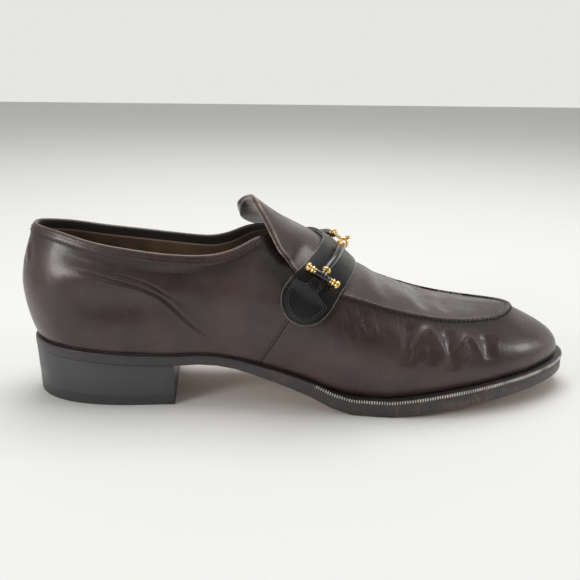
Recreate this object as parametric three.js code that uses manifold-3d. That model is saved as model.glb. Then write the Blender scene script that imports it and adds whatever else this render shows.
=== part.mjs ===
// A right-foot horsebit loafer: a hollow leather upper on a welted leather sole, with a stacked
// heel, a free tongue flap, and a black strap that carries a bit of two linked half bars.
// Millimetres, +X to the toe, +Y to the inner side of the foot, +Z up from the floor.

import * as THREE from 'three';
import { mergeVertices } from 'three/addons/utils/BufferGeometryUtils.js';
import Module from 'manifold-3d';

const wasm = await Module();
wasm.setup();

// Driving dimensions
const SOLE_LENGTH = 297;
const HEEL_CENTRE = 38;        // from the back of the heel to the origin
const HEEL_BREAST = 76.5;      // from the back of the heel to its front face
const WALL = 2.2;              // leather and lining together
const GAP = 0.3;               // left between neighbouring pieces
const LIFT_HEIGHT = 6;
const HEEL_TAPER = 1.3;        // the heel draws in from its top to the floor
const WELT_INSET = 0.5;        // the welt stands back from the sole's edge
const WELT_WIDTH = 10;
const INSOLE_THICKNESS = 2.6;
const SEAM_HEIGHT = 1.0;       // the apron seam stands proud of the vamp
const SEAM_HALF = 1.5;
const BINDING_WIDTH = 5.2;     // the collar's binding
const BINDING_HEIGHT = 0.6;
const FLAP_THICKNESS = 2.9;
const STRAP_THICKNESS = 2.0;
const STRAP_HALF = 11.3;
const TAB_RADIUS = 13;
const BAR_RADIUS = 1.85;
const CROSSBAR_RADIUS = 1.5;
const KNOB_RADIUS = 2.3;
const KEEPER_THICKNESS = 1.2;

// Smooth curves through tables

// A cubic through the rows. Its slope at each row is a mean of the slopes on both sides.
function smooth(knots, values, period = 0) {
  const count = knots.length;
  const knot = (i) => knots[((i % count) + count) % count] + period * Math.floor(i / count);
  const value = (i) => values[((i % count) + count) % count];
  const slope = (i) => {
    if (!period && (i === 0 || i === count - 1)) {
      const j = i === 0 ? 0 : count - 2;
      return (value(j + 1) - value(j)) / (knot(j + 1) - knot(j));
    }
    const before = (value(i) - value(i - 1)) / (knot(i) - knot(i - 1));
    const after = (value(i + 1) - value(i)) / (knot(i + 1) - knot(i));
    const a = knot(i) - knot(i - 1);
    const b = knot(i + 1) - knot(i);
    return (before * b + after * a) / (a + b);
  };
  return (x) => {
    let at = x;
    if (period) at = knots[0] + ((((x - knots[0]) % period) + period) % period);
    let i = 0;
    const last = period ? count - 1 : count - 2;
    while (i < last && at > knot(i + 1)) i += 1;
    const h = knot(i + 1) - knot(i);
    const t = Math.min(1, Math.max(0, (at - knot(i)) / h));
    const t2 = t * t;
    const t3 = t2 * t;
    return (2 * t3 - 3 * t2 + 1) * value(i) + (t3 - 2 * t2 + t) * h * slope(i)
      + (3 * t2 - 2 * t3) * value(i + 1) + (t3 - t2) * h * slope(i + 1);
  };
}

const ease = (low, high, x) => {
  const t = Math.min(1, Math.max(0, (x - low) / (high - low)));
  return t * t * (3 - 2 * t);
};
const mix = (a, b, t) => a + (b - a) * t;
const column = (rows, name) => rows.map((row) => row[name]);
const radians = THREE.MathUtils.degToRad;

// The way round the shoe is an angle: 0 at the back of the heel, PI at the toe, with plus for the
// outer side and minus for the inner side. A fraction of the sole's length gives the angle.
const turnAt = (fraction) => Math.acos(1 - 2 * fraction);
const OUTER = 1;
const INNER = -1;

// Sole outline: half widths from the centre line at fractions of the length
const outerOutline = [
  { along: 0.01, half: 10 }, { along: 0.03, half: 18 }, { along: 0.08, half: 27.5 },
  { along: 0.15, half: 32.3 }, { along: 0.25, half: 33 }, { along: 0.35, half: 34.3 },
  { along: 0.45, half: 40.3 }, { along: 0.55, half: 48.6 }, { along: 0.62, half: 53.3 },
  { along: 0.68, half: 55.3 }, { along: 0.75, half: 54 }, { along: 0.82, half: 49.4 },
  { along: 0.88, half: 42.3 }, { along: 0.94, half: 31.3 }, { along: 0.98, half: 19.5 },
];
const innerOutline = [
  { along: 0.01, half: 10 }, { along: 0.03, half: 18 }, { along: 0.08, half: 27 },
  { along: 0.15, half: 31 }, { along: 0.25, half: 28.6 }, { along: 0.35, half: 23.8 },
  { along: 0.42, half: 22.3 }, { along: 0.5, half: 26.5 }, { along: 0.6, half: 37.5 },
  { along: 0.68, half: 44.5 }, { along: 0.75, half: 46.8 }, { along: 0.82, half: 44.2 },
  { along: 0.88, half: 37.5 }, { along: 0.94, half: 26.2 }, { along: 0.98, half: 13.8 },
];
const TOE_Y = -3;

const outlineRows = [
  ...innerOutline.map((row) => ({ turn: -turnAt(row.along), y: row.half })),
  { turn: 0, y: 0 },
  ...outerOutline.map((row) => ({ turn: turnAt(row.along), y: -row.half })),
  { turn: Math.PI, y: TOE_Y },
].sort((a, b) => a.turn - b.turn);
const outlineY = smooth(column(outlineRows, 'turn'), column(outlineRows, 'y'), 2 * Math.PI);
const outlineX = (turn) => (SOLE_LENGTH / 2) * (1 - Math.cos(turn));

// A point of the sole's outline, drawn in by a distance square to its edge
function edge(turn, inset = 0) {
  const step = 0.01;
  const dx = outlineX(turn + step) - outlineX(turn - step);
  const dy = outlineY(turn + step) - outlineY(turn - step);
  const size = Math.hypot(dx, dy);
  return { x: outlineX(turn) - (inset * dy) / size, y: outlineY(turn) + (inset * dx) / size };
}

// Heights along the sole
const soleRows = [
  { x: 0, bottom: 26.2, sole: 4.2, welt: 1.0 }, { x: 38, bottom: 24.0, sole: 4.2, welt: 1.0 },
  { x: 77, bottom: 22.4, sole: 4.0, welt: 1.0 }, { x: 94, bottom: 22.9, sole: 3.8, welt: 1.0 },
  { x: 108, bottom: 20.9, sole: 3.9, welt: 1.1 }, { x: 122, bottom: 16.9, sole: 4.2, welt: 1.5 },
  { x: 136, bottom: 12.3, sole: 4.6, welt: 2.2 }, { x: 150, bottom: 6.9, sole: 5.0, welt: 3.0 },
  { x: 160, bottom: 2.2, sole: 5.2, welt: 3.2 }, { x: 168, bottom: 0, sole: 5.2, welt: 3.2 },
  { x: 189, bottom: 0, sole: 5.2, welt: 3.2 },
  { x: 200, bottom: 1.5, sole: 5.2, welt: 3.2 }, { x: 220, bottom: 4.2, sole: 5.2, welt: 3.2 },
  { x: 245, bottom: 6.8, sole: 5.2, welt: 3.2 }, { x: 270, bottom: 8.8, sole: 5.1, welt: 3.1 },
  { x: 297, bottom: 10.4, sole: 5.0, welt: 3.0 },
];
const bottomCurve = smooth(column(soleRows, 'x'), column(soleRows, 'bottom'));
const FLAT_FROM = 168;
const FLAT_TO = 189;
const soleBottom = (x) => (x >= FLAT_FROM && x <= FLAT_TO ? 0 : Math.max(0, bottomCurve(x)));
const soleThickness = smooth(column(soleRows, 'x'), column(soleRows, 'sole'));
const weltThickness = smooth(column(soleRows, 'x'), column(soleRows, 'welt'));
const soleTop = (x) => soleBottom(x) + soleThickness(x);
const weltTop = (x) => soleTop(x) + GAP + weltThickness(x);

// How far the upper stands inside the sole's edge
const ledgeRows = [
  { along: 0, ledge: 1.3 }, { along: 0.3, ledge: 1.6 }, { along: 0.45, ledge: 2.2 },
  { along: 0.58, ledge: 3.5 }, { along: 0.9, ledge: 3.4 }, { along: 1, ledge: 3.0 },
];
const ledge = smooth(ledgeRows.map((row) => turnAt(row.along)), column(ledgeRows, 'ledge'));

// The last

// The shoulder: the apron seam from the strap to the toe, and halfway up the quarters behind it
const outerShoulder = [
  { along: 0.02, x: 0, y: -13.8, z: 61.5 }, { along: 0.06, x: 11.5, y: -24, z: 61.5 },
  { along: 0.13, x: 34, y: -30.2, z: 61 }, { along: 0.21, x: 60, y: -31.6, z: 60 },
  { along: 0.3, x: 88, y: -32.6, z: 59 }, { along: 0.37, x: 110, y: -35, z: 62 },
  { along: 0.42, x: 124.5, y: -38.2, z: 65 }, { along: 0.46, x: 136.5, y: -40, z: 67 },
  { along: 0.5, x: 147.5, y: -40.3, z: 66.6 }, { along: 0.55, x: 161, y: -40, z: 63.2 },
  { along: 0.62, x: 177.5, y: -40, z: 57.6 }, { along: 0.68, x: 193, y: -40.3, z: 53 },
  { along: 0.75, x: 212, y: -39.3, z: 48.8 }, { along: 0.82, x: 229.5, y: -35.2, z: 46.2 },
  { along: 0.88, x: 244, y: -29.8, z: 45.3 }, { along: 0.94, x: 253.8, y: -23, z: 45.6 },
  { along: 0.98, x: 260.3, y: -14.5, z: 46 },
];
const innerShoulder = [
  { along: 0.02, x: 0, y: 13.6, z: 61.5 }, { along: 0.06, x: 11.5, y: 23.4, z: 61.5 },
  { along: 0.13, x: 34, y: 28.4, z: 61 }, { along: 0.21, x: 60, y: 29.4, z: 60 },
  { along: 0.3, x: 88, y: 30.4, z: 59 }, { along: 0.37, x: 110, y: 33, z: 62 },
  { along: 0.42, x: 124.5, y: 35.8, z: 66 }, { along: 0.46, x: 136.5, y: 36.8, z: 68.5 },
  { along: 0.5, x: 147.5, y: 35.8, z: 69 }, { along: 0.55, x: 161, y: 33.3, z: 66.3 },
  { along: 0.62, x: 178.5, y: 30, z: 60.6 }, { along: 0.68, x: 196, y: 27.4, z: 53.6 },
  { along: 0.75, x: 216, y: 25.2, z: 47.8 }, { along: 0.82, x: 233, y: 22.2, z: 44.8 },
  { along: 0.88, x: 246, y: 18.2, z: 43.8 }, { along: 0.94, x: 256.3, y: 11.3, z: 44.2 },
  { along: 0.98, x: 261.6, y: 2.2, z: 45.4 },
];
const HEEL_SHOULDER = { turn: 0, x: -4.2, y: 0, z: 61.5 };
const TOE_SHOULDER = { turn: Math.PI, x: 262.8, y: -6.5, z: 46.2 };

// The opening's rim: the collar, and the throat under the tongue flap
const outerRim = [
  { along: 0.025, x: 8.5, y: -9.5, z: 93 }, { along: 0.065, x: 20, y: -16.6, z: 91 },
  { along: 0.13, x: 38.5, y: -23.6, z: 86.6 }, { along: 0.2, x: 58, y: -26.6, z: 83.6 },
  { along: 0.265, x: 77, y: -27.4, z: 81.2 }, { along: 0.32, x: 94, y: -27.4, z: 80.8 },
  { along: 0.37, x: 109, y: -26.2, z: 83.4 }, { along: 0.42, x: 122, y: -21, z: 91 },
  { along: 0.46, x: 133.5, y: -13.5, z: 90.4 },
];
const innerRim = [
  { along: 0.025, x: 8.5, y: 9.2, z: 93 }, { along: 0.065, x: 20, y: 16, z: 91 },
  { along: 0.13, x: 38.5, y: 22.6, z: 86.8 }, { along: 0.2, x: 58, y: 25.4, z: 84 },
  { along: 0.265, x: 77, y: 26.4, z: 81.4 }, { along: 0.32, x: 92.5, y: 26.8, z: 79.7 },
  { along: 0.37, x: 104.5, y: 25.6, z: 80.6 }, { along: 0.42, x: 117, y: 20.4, z: 87.6 },
  { along: 0.46, x: 131, y: 13, z: 90 },
];
const HEEL_RIM = { turn: 0, x: 4.2, y: 0, z: 93.6 };
const THROAT = { turn: Math.PI / 2, x: 142, y: 0, z: 87.3 };

// The crest of the instep and apron, from the throat to the toe end of the apron
const crestRows = [
  { along: 0.5, x: 142, z: 87.4 }, { along: 0.55, x: 155, z: 80.4 },
  { along: 0.59, x: 164, z: 75.2 }, { along: 0.64, x: 175, z: 69 },
  { along: 0.69, x: 186, z: 62.9 }, { along: 0.74, x: 197, z: 57.6 },
  { along: 0.8, x: 209, z: 52.2 }, { along: 0.86, x: 220, z: 49.4 },
  { along: 0.92, x: 232, z: 47.8 }, { along: 0.965, x: 243, z: 47.3 },
  { along: 1, x: 251, z: 47.1 },
];
const CREST_TOE_Y = -5;

// Angles of the wall, in degrees above level and leaning in: more than 90 leans out
const leanRows = [
  { along: 0, foot: 110, inner: 110, below: 90, above: 90, rim: 68 },
  { along: 0.06, foot: 106, inner: 106, below: 89, above: 89, rim: 68 },
  { along: 0.2, foot: 100, inner: 103, below: 86, above: 86, rim: 74 },
  { along: 0.32, foot: 98, inner: 110, below: 84, above: 84, rim: 72 },
  { along: 0.42, foot: 101, inner: 122, below: 76, above: 76, rim: 50 },
  { along: 0.47, foot: 104, inner: 121, below: 66, above: 66, rim: 26 },
  { along: 0.51, foot: 108, inner: 118, below: 58, above: 58, rim: 0 },
  { along: 0.56, foot: 112, inner: 114, below: 52, above: 47, rim: 0 },
  { along: 0.65, foot: 116, inner: 110, below: 46, above: 34, rim: 0 },
  { along: 0.75, foot: 114, inner: 108, below: 42, above: 20, rim: 0 },
  { along: 0.88, foot: 110, inner: 106, below: 38, above: 13, rim: 0 },
  { along: 1, foot: 104, inner: 104, below: 34, above: 10, rim: 0 },
];

const sideRows = (rows, side) => rows.map((row) => ({ ...row, turn: side * turnAt(row.along) }));
const shoulderRows = [
  ...sideRows(innerShoulder, INNER), HEEL_SHOULDER, ...sideRows(outerShoulder, OUTER), TOE_SHOULDER,
].sort((a, b) => a.turn - b.turn);
const rimRows = [
  ...sideRows(innerRim, INNER), HEEL_RIM, ...sideRows(outerRim, OUTER), THROAT,
].sort((a, b) => a.turn - b.turn);
const loop = (rows, name, period) => smooth(column(rows, 'turn'), column(rows, name), period);
const shoulderCurves = ['x', 'y', 'z'].map((name) => loop(shoulderRows, name, 2 * Math.PI));
const rimCurves = ['x', 'y', 'z'].map((name) => loop(rimRows, name, Math.PI));
const crestTurns = crestRows.map((row) => turnAt(row.along));
const crestX = smooth(crestTurns, column(crestRows, 'x'));
const crestZ = smooth(column(crestRows, 'x'), column(crestRows, 'z'));
const crestY = (x) => CREST_TOE_Y * ease(THROAT.x, 240, x);
const lean = Object.fromEntries(['foot', 'inner', 'below', 'above', 'rim'].map((name) => [
  name, smooth(leanRows.map((row) => turnAt(row.along)), column(leanRows, name)),
]));

const footPoint = (turn) => {
  const { x, y } = edge(turn, ledge(Math.abs(turn)));
  return new THREE.Vector3(x, y, weltTop(x) + GAP);
};
const shoulderPoint = (turn) => new THREE.Vector3(...shoulderCurves.map((curve) => curve(turn)));
const crestPoint = (turn) => {
  const x = crestX(Math.abs(turn));
  return new THREE.Vector3(x, crestY(x), crestZ(x));
};
const isFront = (turn) => Math.abs(turn) >= Math.PI / 2;
const topPoint = (turn) => (isFront(turn)
  ? crestPoint(turn)
  : new THREE.Vector3(...rimCurves.map((curve) => curve(turn))));

// A cubic from one point to another that leaves and arrives at the given angles above level,
// where level is the direction that counts as inward
function bow(from, to, level, leave, arrive, t) {
  const size = from.distanceTo(to);
  const tangent = (angle) => level.clone().multiplyScalar(Math.cos(angle) * size)
    .add(new THREE.Vector3(0, 0, Math.sin(angle) * size));
  const t2 = t * t;
  const t3 = t2 * t;
  return from.clone().multiplyScalar(2 * t3 - 3 * t2 + 1)
    .add(tangent(leave).multiplyScalar(t3 - 2 * t2 + t))
    .add(to.clone().multiplyScalar(3 * t2 - 2 * t3))
    .add(tangent(arrive).multiplyScalar(t3 - t2));
}

// The upper's outer face. up runs from 0 at the sole to 1 at the shoulder and 2 at the top; past
// the strap it goes on over the crest, from 2 to 4 at the sole of the other side.
function face(turn, up) {
  if (up > 2) return face(-turn, 4 - up);
  const around = Math.abs(turn);
  const shoulder = shoulderPoint(turn);
  if (up <= 1) {
    const leave = turn >= 0 ? lean.foot(around) : lean.inner(around);
    const foot = footPoint(turn);
    const rim = edge(turn);
    const inward = new THREE.Vector3(foot.x - rim.x, foot.y - rim.y, 0).normalize();
    return bow(foot, shoulder, inward, radians(leave), radians(lean.below(around)), up);
  }
  const top = topPoint(turn);
  const level = new THREE.Vector3(top.x - shoulder.x, top.y - shoulder.y, 0).normalize();
  let arrive = radians(lean.rim(around));
  if (isFront(turn)) {
    const fall = (crestZ(top.x + 1) - crestZ(top.x - 1)) / 2;
    arrive = Math.atan(fall * level.x);
  }
  return bow(shoulder, top, level, radians(lean.above(around)), arrive, up - 1);
}

// The outward direction of that face
function faceNormal(turn, up) {
  const step = 0.01;
  const alongTurn = face(turn + step, up).sub(face(turn - step, up));
  const alongUp = face(turn, up + step).sub(face(turn, up - step));
  return alongTurn.cross(alongUp).normalize();
}

// Meshes

// Collects points and faces of one closed solid
class Shell {
  constructor() {
    this.points = [];
    this.faces = [];
  }

  point(p) {
    this.points.push(p.x, p.y, p.z);
    return this.points.length / 3 - 1;
  }

  triangle(a, b, c) {
    if (a !== b && b !== c && c !== a) this.faces.push(a, b, c);
  }

  quad(a, b, c, d) {
    this.triangle(a, b, c);
    this.triangle(a, c, d);
  }

  // A band of quads between two rows of points; closed joins the last to the first
  band(low, high, closed = false) {
    const count = closed ? low.length : low.length - 1;
    for (let i = 0; i < count; i += 1) {
      const j = (i + 1) % low.length;
      this.quad(low[i], low[j], high[j], high[i]);
    }
  }

  geometry() {
    const geometry = new THREE.BufferGeometry();
    geometry.setAttribute('position', new THREE.Float32BufferAttribute(this.points, 3));
    geometry.setIndex(this.faces);
    return outward(geometry);
  }
}

// Turns a closed mesh's faces outward if its volume comes out negative
function outward(geometry) {
  const position = geometry.getAttribute('position');
  const index = geometry.getIndex().array;
  const corner = [new THREE.Vector3(), new THREE.Vector3(), new THREE.Vector3()];
  let volume = 0;
  for (let i = 0; i < index.length; i += 3) {
    corner.forEach((p, k) => p.fromBufferAttribute(position, index[i + k]));
    volume += corner[0].dot(corner[1].clone().cross(corner[2]));
  }
  if (volume < 0) {
    const turned = Array.from(index);
    for (let i = 0; i < turned.length; i += 3) {
      [turned[i + 1], turned[i + 2]] = [turned[i + 2], turned[i + 1]];
    }
    geometry.setIndex(turned);
  }
  geometry.computeVertexNormals();
  return geometry;
}

// A solid from a closed mesh, and back again
function toSolid(geometry) {
  const bare = geometry.clone();
  bare.deleteAttribute('normal');
  bare.deleteAttribute('uv');
  const merged = mergeVertices(bare, 1e-4);
  return new wasm.Manifold(new wasm.Mesh({
    numProp: 3,
    vertProperties: new Float32Array(merged.getAttribute('position').array),
    triVerts: new Uint32Array(merged.getIndex().array),
  }));
}

function toGeometry(solid) {
  const mesh = solid.getMesh();
  const geometry = new THREE.BufferGeometry();
  const positions = new Float32Array(mesh.numVert * 3);
  for (let i = 0; i < mesh.numVert; i += 1) {
    positions.set(mesh.vertProperties.slice(i * mesh.numProp, i * mesh.numProp + 3), i * 3);
  }
  geometry.setAttribute('position', new THREE.BufferAttribute(positions, 3));
  geometry.setIndex(Array.from(mesh.triVerts));
  geometry.computeVertexNormals();
  return geometry;
}

const join = (...geometries) => toGeometry(
  geometries.map(toSolid).reduce((whole, solid) => whole.add(solid)),
);

// Angles from one end of a side to the other, spaced evenly round the outline
const spacedTurns = (count, end = Math.PI) => Array.from(
  { length: count + 1 }, (_, i) => (end * i) / count,
);

// A plate with an outline on both sides, from the heel to the last angle. low and high give the
// lower and upper point for an angle.
function plate(turns, low, high, across = 3) {
  const shell = new Shell();
  const rows = { low: [], high: [] };
  for (const [name, place] of [['low', low], ['high', high]]) {
    for (const turn of turns) {
      const outer = place(turn);
      const inner = place(-turn);
      const single = turn === 0 || turn === Math.PI;
      const row = [];
      for (let k = 0; k <= across; k += 1) {
        const share = k / across;
        const x = mix(outer.x, inner.x, share);
        const z = outer.height(x);
        const p = new THREE.Vector3(x, mix(outer.y, inner.y, share), z);
        row.push(single && k > 0 ? row[0] : shell.point(p));
      }
      rows[name].push(row);
    }
  }
  for (let i = 0; i + 1 < turns.length; i += 1) {
    shell.band(rows.low[i], rows.low[i + 1]);
    shell.band(rows.high[i + 1], rows.high[i]);
    shell.quad(rows.low[i][0], rows.low[i + 1][0], rows.high[i + 1][0], rows.high[i][0]);
    shell.quad(
      rows.low[i + 1][across], rows.low[i][across], rows.high[i][across], rows.high[i + 1][across],
    );
  }
  const end = turns.length - 1;
  if (turns[end] !== Math.PI) shell.band(rows.low[end], rows.high[end]);
  return shell.geometry();
}

const onEdge = (turn, inset, height) => ({ ...edge(turn, inset), height });

// Outsole: a plate to the sole's edge, thicker inside the welt
function outsole() {
  const turns = spacedTurns(46);
  const body = plate(turns, (turn) => onEdge(turn, 0, soleBottom), (turn) => onEdge(turn, 0, soleTop));
  const filled = WELT_INSET + WELT_WIDTH + GAP;
  const middle = (x) => soleBottom(x) + soleThickness(x) / 2;
  const raised = plate(
    turns,
    (turn) => onEdge(turn, filled, middle),
    (turn) => onEdge(turn, filled, weltTop),
    2,
  );
  return join(body, raised);
}

// Welt: a strip all round between the outsole and the upper
function welt() {
  const shell = new Shell();
  const count = 92;
  const corner = (inset, height) => Array.from({ length: count }, (_, i) => {
    const turn = (2 * Math.PI * i) / count;
    const { x, y } = edge(turn > Math.PI ? turn - 2 * Math.PI : turn, inset);
    return shell.point(new THREE.Vector3(x, y, height(x)));
  });
  const inner = WELT_INSET + WELT_WIDTH;
  const bottom = (x) => soleTop(x) + GAP;
  const rings = [
    corner(WELT_INSET, bottom), corner(WELT_INSET, weltTop), corner(inner, weltTop),
    corner(inner, bottom),
  ];
  rings.forEach((ring, i) => shell.band(ring, rings[(i + 1) % rings.length], true));
  return shell.geometry();
}

// Insole: a flat sock that lies inside the upper, on the welt and the outsole
function insole() {
  const inset = (turn) => ledge(Math.abs(turn)) + WALL + 3 * GAP;
  const bottom = (x) => weltTop(x) + GAP;
  const top = (x) => bottom(x) + INSOLE_THICKNESS;
  return plate(
    spacedTurns(46),
    (turn) => onEdge(turn, inset(turn), bottom),
    (turn) => onEdge(turn, inset(turn), top),
    2,
  );
}

// Heel: the same taper runs through the stack and the top lift
function heelPlate(low, high) {
  const turns = spacedTurns(22, turnAt(HEEL_BREAST / SOLE_LENGTH));
  const place = (height) => (turn) => {
    const { x, y } = edge(turn, 0.3 + HEEL_TAPER * (1 - height(edge(turn).x) / soleBottom(0)));
    const last = Math.abs(turn) === turns[turns.length - 1];
    return { x: last ? HEEL_BREAST : Math.min(x, HEEL_BREAST - 0.5), y, height };
  };
  return plate(turns, place(low), place(high), 2);
}
const heelStack = () => heelPlate(() => LIFT_HEIGHT, (x) => soleBottom(x) - GAP);
const heelLift = () => heelPlate(() => 0, () => LIFT_HEIGHT - GAP);

// Upper

const BACK_COLUMNS = 20;       // on each side, from the heel to the throat
const FRONT_COLUMNS = 19;      // on each side, from the throat to the toe
const WALL_RINGS = 7;
const APRON_RINGS = 7;

// Angles of the upper's upright columns on one side, the heel and the toe left out
const columnTurns = [
  ...Array.from({ length: BACK_COLUMNS }, (_, i) => ((i + 1) / BACK_COLUMNS) * (Math.PI / 2)),
  ...Array.from({ length: FRONT_COLUMNS }, (_, i) => (Math.PI / 2) * (1 + (i + 1) / (FRONT_COLUMNS + 0.6))),
];

// Where a column's points lie: even up the wall, one each side of the seam, then even to the top,
// with two of them at the binding's lower edge behind the throat
function columnHeights(turn) {
  const around = Math.abs(turn);
  const wallSize = shoulderPoint(turn).distanceTo(footPoint(turn));
  const topSize = topPoint(turn).distanceTo(shoulderPoint(turn));
  const seamHalf = mix(4, SEAM_HALF, ease(turnAt(0.46), turnAt(0.56), around));
  const below = 1 - seamHalf / wallSize;
  const above = 1 + seamHalf / topSize;
  const heights = Array.from({ length: WALL_RINGS }, (_, i) => (below * i) / (WALL_RINGS - 1));
  heights.push(1);
  const bound = 1 - ease(turnAt(0.4), turnAt(0.47), around);
  for (let i = 0; i < APRON_RINGS; i += 1) {
    const even = mix(above, 2, i / (APRON_RINGS - 1));
    const stepTop = 2 - BINDING_WIDTH / topSize;
    const stepLow = stepTop - 0.7 / topSize;
    const behind = [above, mix(above, stepLow, 0.36), mix(above, stepLow, 0.7), stepLow, stepTop,
      mix(stepTop, 2, 0.5), 2][i];
    heights.push(mix(even, behind, bound));
  }
  return heights;
}

// The apron seam's ridge comes out from under the strap's front edge
const seamShare = (around) => ease(turnAt(0.545), turnAt(0.575), around);

// What stands proud of the wall: the apron seam's ridge and the collar's binding
function raised(turn, ring) {
  const around = Math.abs(turn);
  const seam = ring === WALL_RINGS ? seamShare(around) : 0;
  const binding = ring >= WALL_RINGS + 5 ? 1 - ease(turnAt(0.4), turnAt(0.47), around) : 0;
  return seam * SEAM_HEIGHT + binding * BINDING_HEIGHT;
}

function upper() {
  const rings = WALL_RINGS + 1 + APRON_RINGS;
  const top = rings - 1;
  const turns = [
    0, ...columnTurns, Math.PI, ...columnTurns.map((turn) => -turn).reverse(),
  ];
  const toe = columnTurns.length + 1;
  const shell = new Shell();
  const outside = [];
  const inside = [];
  turns.forEach((turn, i) => {
    const heights = columnHeights(turn);
    const partner = turns.length - i;
    const shared = turn < 0 && isFront(turn);
    const skin = [];
    const lining = [];
    for (let ring = 0; ring < rings; ring += 1) {
      const atCrest = ring === top && isFront(turn);
      if (i === toe && ring === top) break;
      if (shared && atCrest) {
        skin.push(outside[partner][top]);
        lining.push(inside[partner][top]);
      } else {
        const p = face(turn, heights[ring]);
        const n = faceNormal(turn, ring === top && !atCrest ? heights[ring] - 0.02 : heights[ring]);
        if (atCrest) n.setY(0).normalize();
        if (turn === 0) n.setY(0).normalize();
        if (ring === 0) n.setZ(0).normalize();
        skin.push(shell.point(p.clone().addScaledVector(n, raised(turn, ring))));
        lining.push(shell.point(p.clone().addScaledVector(n, -WALL)));
      }
    }
    outside.push(skin);
    inside.push(lining);
  });
  const joined = (grid, flip) => {
    for (let i = 0; i < turns.length; i += 1) {
      const j = (i + 1) % turns.length;
      for (let ring = 0; ring < top; ring += 1) {
        const cell = [grid[i][ring], grid[j][ring], grid[j][ring + 1], grid[i][ring + 1]];
        if (cell.includes(undefined)) continue;
        if (flip) cell.reverse();
        shell.quad(...cell);
      }
    }
    const cap = [grid[toe - 1][top - 1], grid[toe][top - 1], grid[toe + 1][top - 1], grid[toe - 1][top]];
    if (flip) cap.reverse();
    shell.quad(...cap);
  };
  joined(outside, false);
  joined(inside, true);
  shell.band(inside.map((line) => line[0]), outside.map((line) => line[0]), true);
  const open = [0, ...Array.from({ length: BACK_COLUMNS }, (_, i) => i + 1)];
  const rimColumns = [...open, ...open.slice(1, -1).map((i) => turns.length - i).reverse()];
  shell.band(
    rimColumns.map((i) => outside[i][top]), rimColumns.map((i) => inside[i][top]), true,
  );
  return shell.geometry();
}

// Places on the outer face

// The angle and height on the face nearest to a point, from a first guess
function nearest(target, guess) {
  let { turn, up } = guess;
  const step = 0.004;
  for (let pass = 0; pass < 12; pass += 1) {
    const here = face(turn, up);
    const a = face(turn + step, up).sub(here).divideScalar(step);
    const b = face(turn, up + step).sub(here).divideScalar(step);
    const miss = target.clone().sub(here);
    const aa = a.dot(a);
    const ab = a.dot(b);
    const bb = b.dot(b);
    const size = aa * bb - ab * ab;
    const dTurn = (miss.dot(a) * bb - miss.dot(b) * ab) / size;
    const dUp = (miss.dot(b) * aa - miss.dot(a) * ab) / size;
    turn += THREE.MathUtils.clamp(dTurn, -0.08, 0.08);
    up += THREE.MathUtils.clamp(dUp, -0.15, 0.15);
  }
  return { turn, up };
}

// The strap's middle line sweeps back from the crest on both sides
const STRAP_CREST_X = 165;
const STRAP_CREST_Z = 75.5;
const STRAP_LEAN = 0.88;       // how far back the strap goes for each millimetre down
const STRAP_SWEEP = 0.21;      // and for each millimetre away from the middle of the instep
const STRAP_SWEEP_FROM = 6;

function strapMiddle(up) {
  let low = 0.38 * Math.PI;
  let high = 0.72 * Math.PI;
  for (let pass = 0; pass < 40; pass += 1) {
    const turn = (low + high) / 2;
    const p = face(turn, up);
    const sweep = Math.hypot(p.y, STRAP_SWEEP_FROM) - STRAP_SWEEP_FROM;
    const line = STRAP_CREST_X - STRAP_SWEEP * sweep - STRAP_LEAN * (STRAP_CREST_Z - p.z);
    if (p.x > line) high = turn;
    else low = turn;
  }
  return { turn: (low + high) / 2, up };
}

// The middle line from low on the outer side, over the crest, to low on the inner side, with the
// length from the crest, minus on the outer side
const strapLine = [];
for (let up = 0.3; up <= 3.701; up += 0.02) {
  const at = strapMiddle(up);
  const p = face(at.turn, at.up);
  const before = strapLine[strapLine.length - 1];
  strapLine.push({ ...at, p, length: before ? before.length + p.distanceTo(before.p) : 0 });
}
const crestLength = strapLine.reduce((best, at) => (
  Math.abs(at.up - 2) < Math.abs(best.up - 2) ? at : best)).length;
strapLine.forEach((at) => { at.length -= crestLength; });

// A place on the face: so far along the strap from the crest, and so far across it to the toe
function strapPlace(along, across) {
  let i = 1;
  while (i < strapLine.length - 3 && strapLine[i + 1].length < along) i += 1;
  const here = strapLine[i];
  const next = strapLine[i + 1];
  const p = here.p.clone().lerp(next.p, (along - here.length) / (next.length - here.length));
  const forward = strapLine[i + 2].p.clone().sub(strapLine[i - 1].p).normalize();
  const toToe = forward.cross(faceNormal(here.turn, here.up)).normalize();
  const at = nearest(p.addScaledVector(toToe, across), here);
  return { p: face(at.turn, at.up), out: faceNormal(at.turn, at.up), ...at };
}

// A point above such a place, higher over the apron seam's ridge
function lifted(place, lift) {
  const fromSeam = Math.min(Math.abs(place.up - 1), Math.abs(place.up - 3)) * 45;
  const ridge = SEAM_HEIGHT * seamShare(place.turn) * (1 - ease(4, 9, fromSeam));
  return place.p.clone().addScaledVector(place.out, lift + ridge);
}

// A sheet with a thickness: two grids of points, closed along all four edges
function sheet(lower, upperGrid) {
  const shell = new Shell();
  const [low, high] = [lower, upperGrid].map((grid) => grid.map((row) => row.map((p) => shell.point(p))));
  const end = low.length - 1;
  for (let i = 0; i < end; i += 1) {
    shell.band(low[i + 1], low[i]);
    shell.band(high[i], high[i + 1]);
  }
  const edges = [
    [low[0], high[0]],
    [low.map((row) => row[row.length - 1]), high.map((row) => row[row.length - 1])],
    [[...low[end]].reverse(), [...high[end]].reverse()],
    [low.map((row) => row[0]).reverse(), high.map((row) => row[0]).reverse()],
  ];
  edges.forEach(([a, b]) => shell.band(a, b));
  return shell.geometry();
}

// Tongue flap

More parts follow.
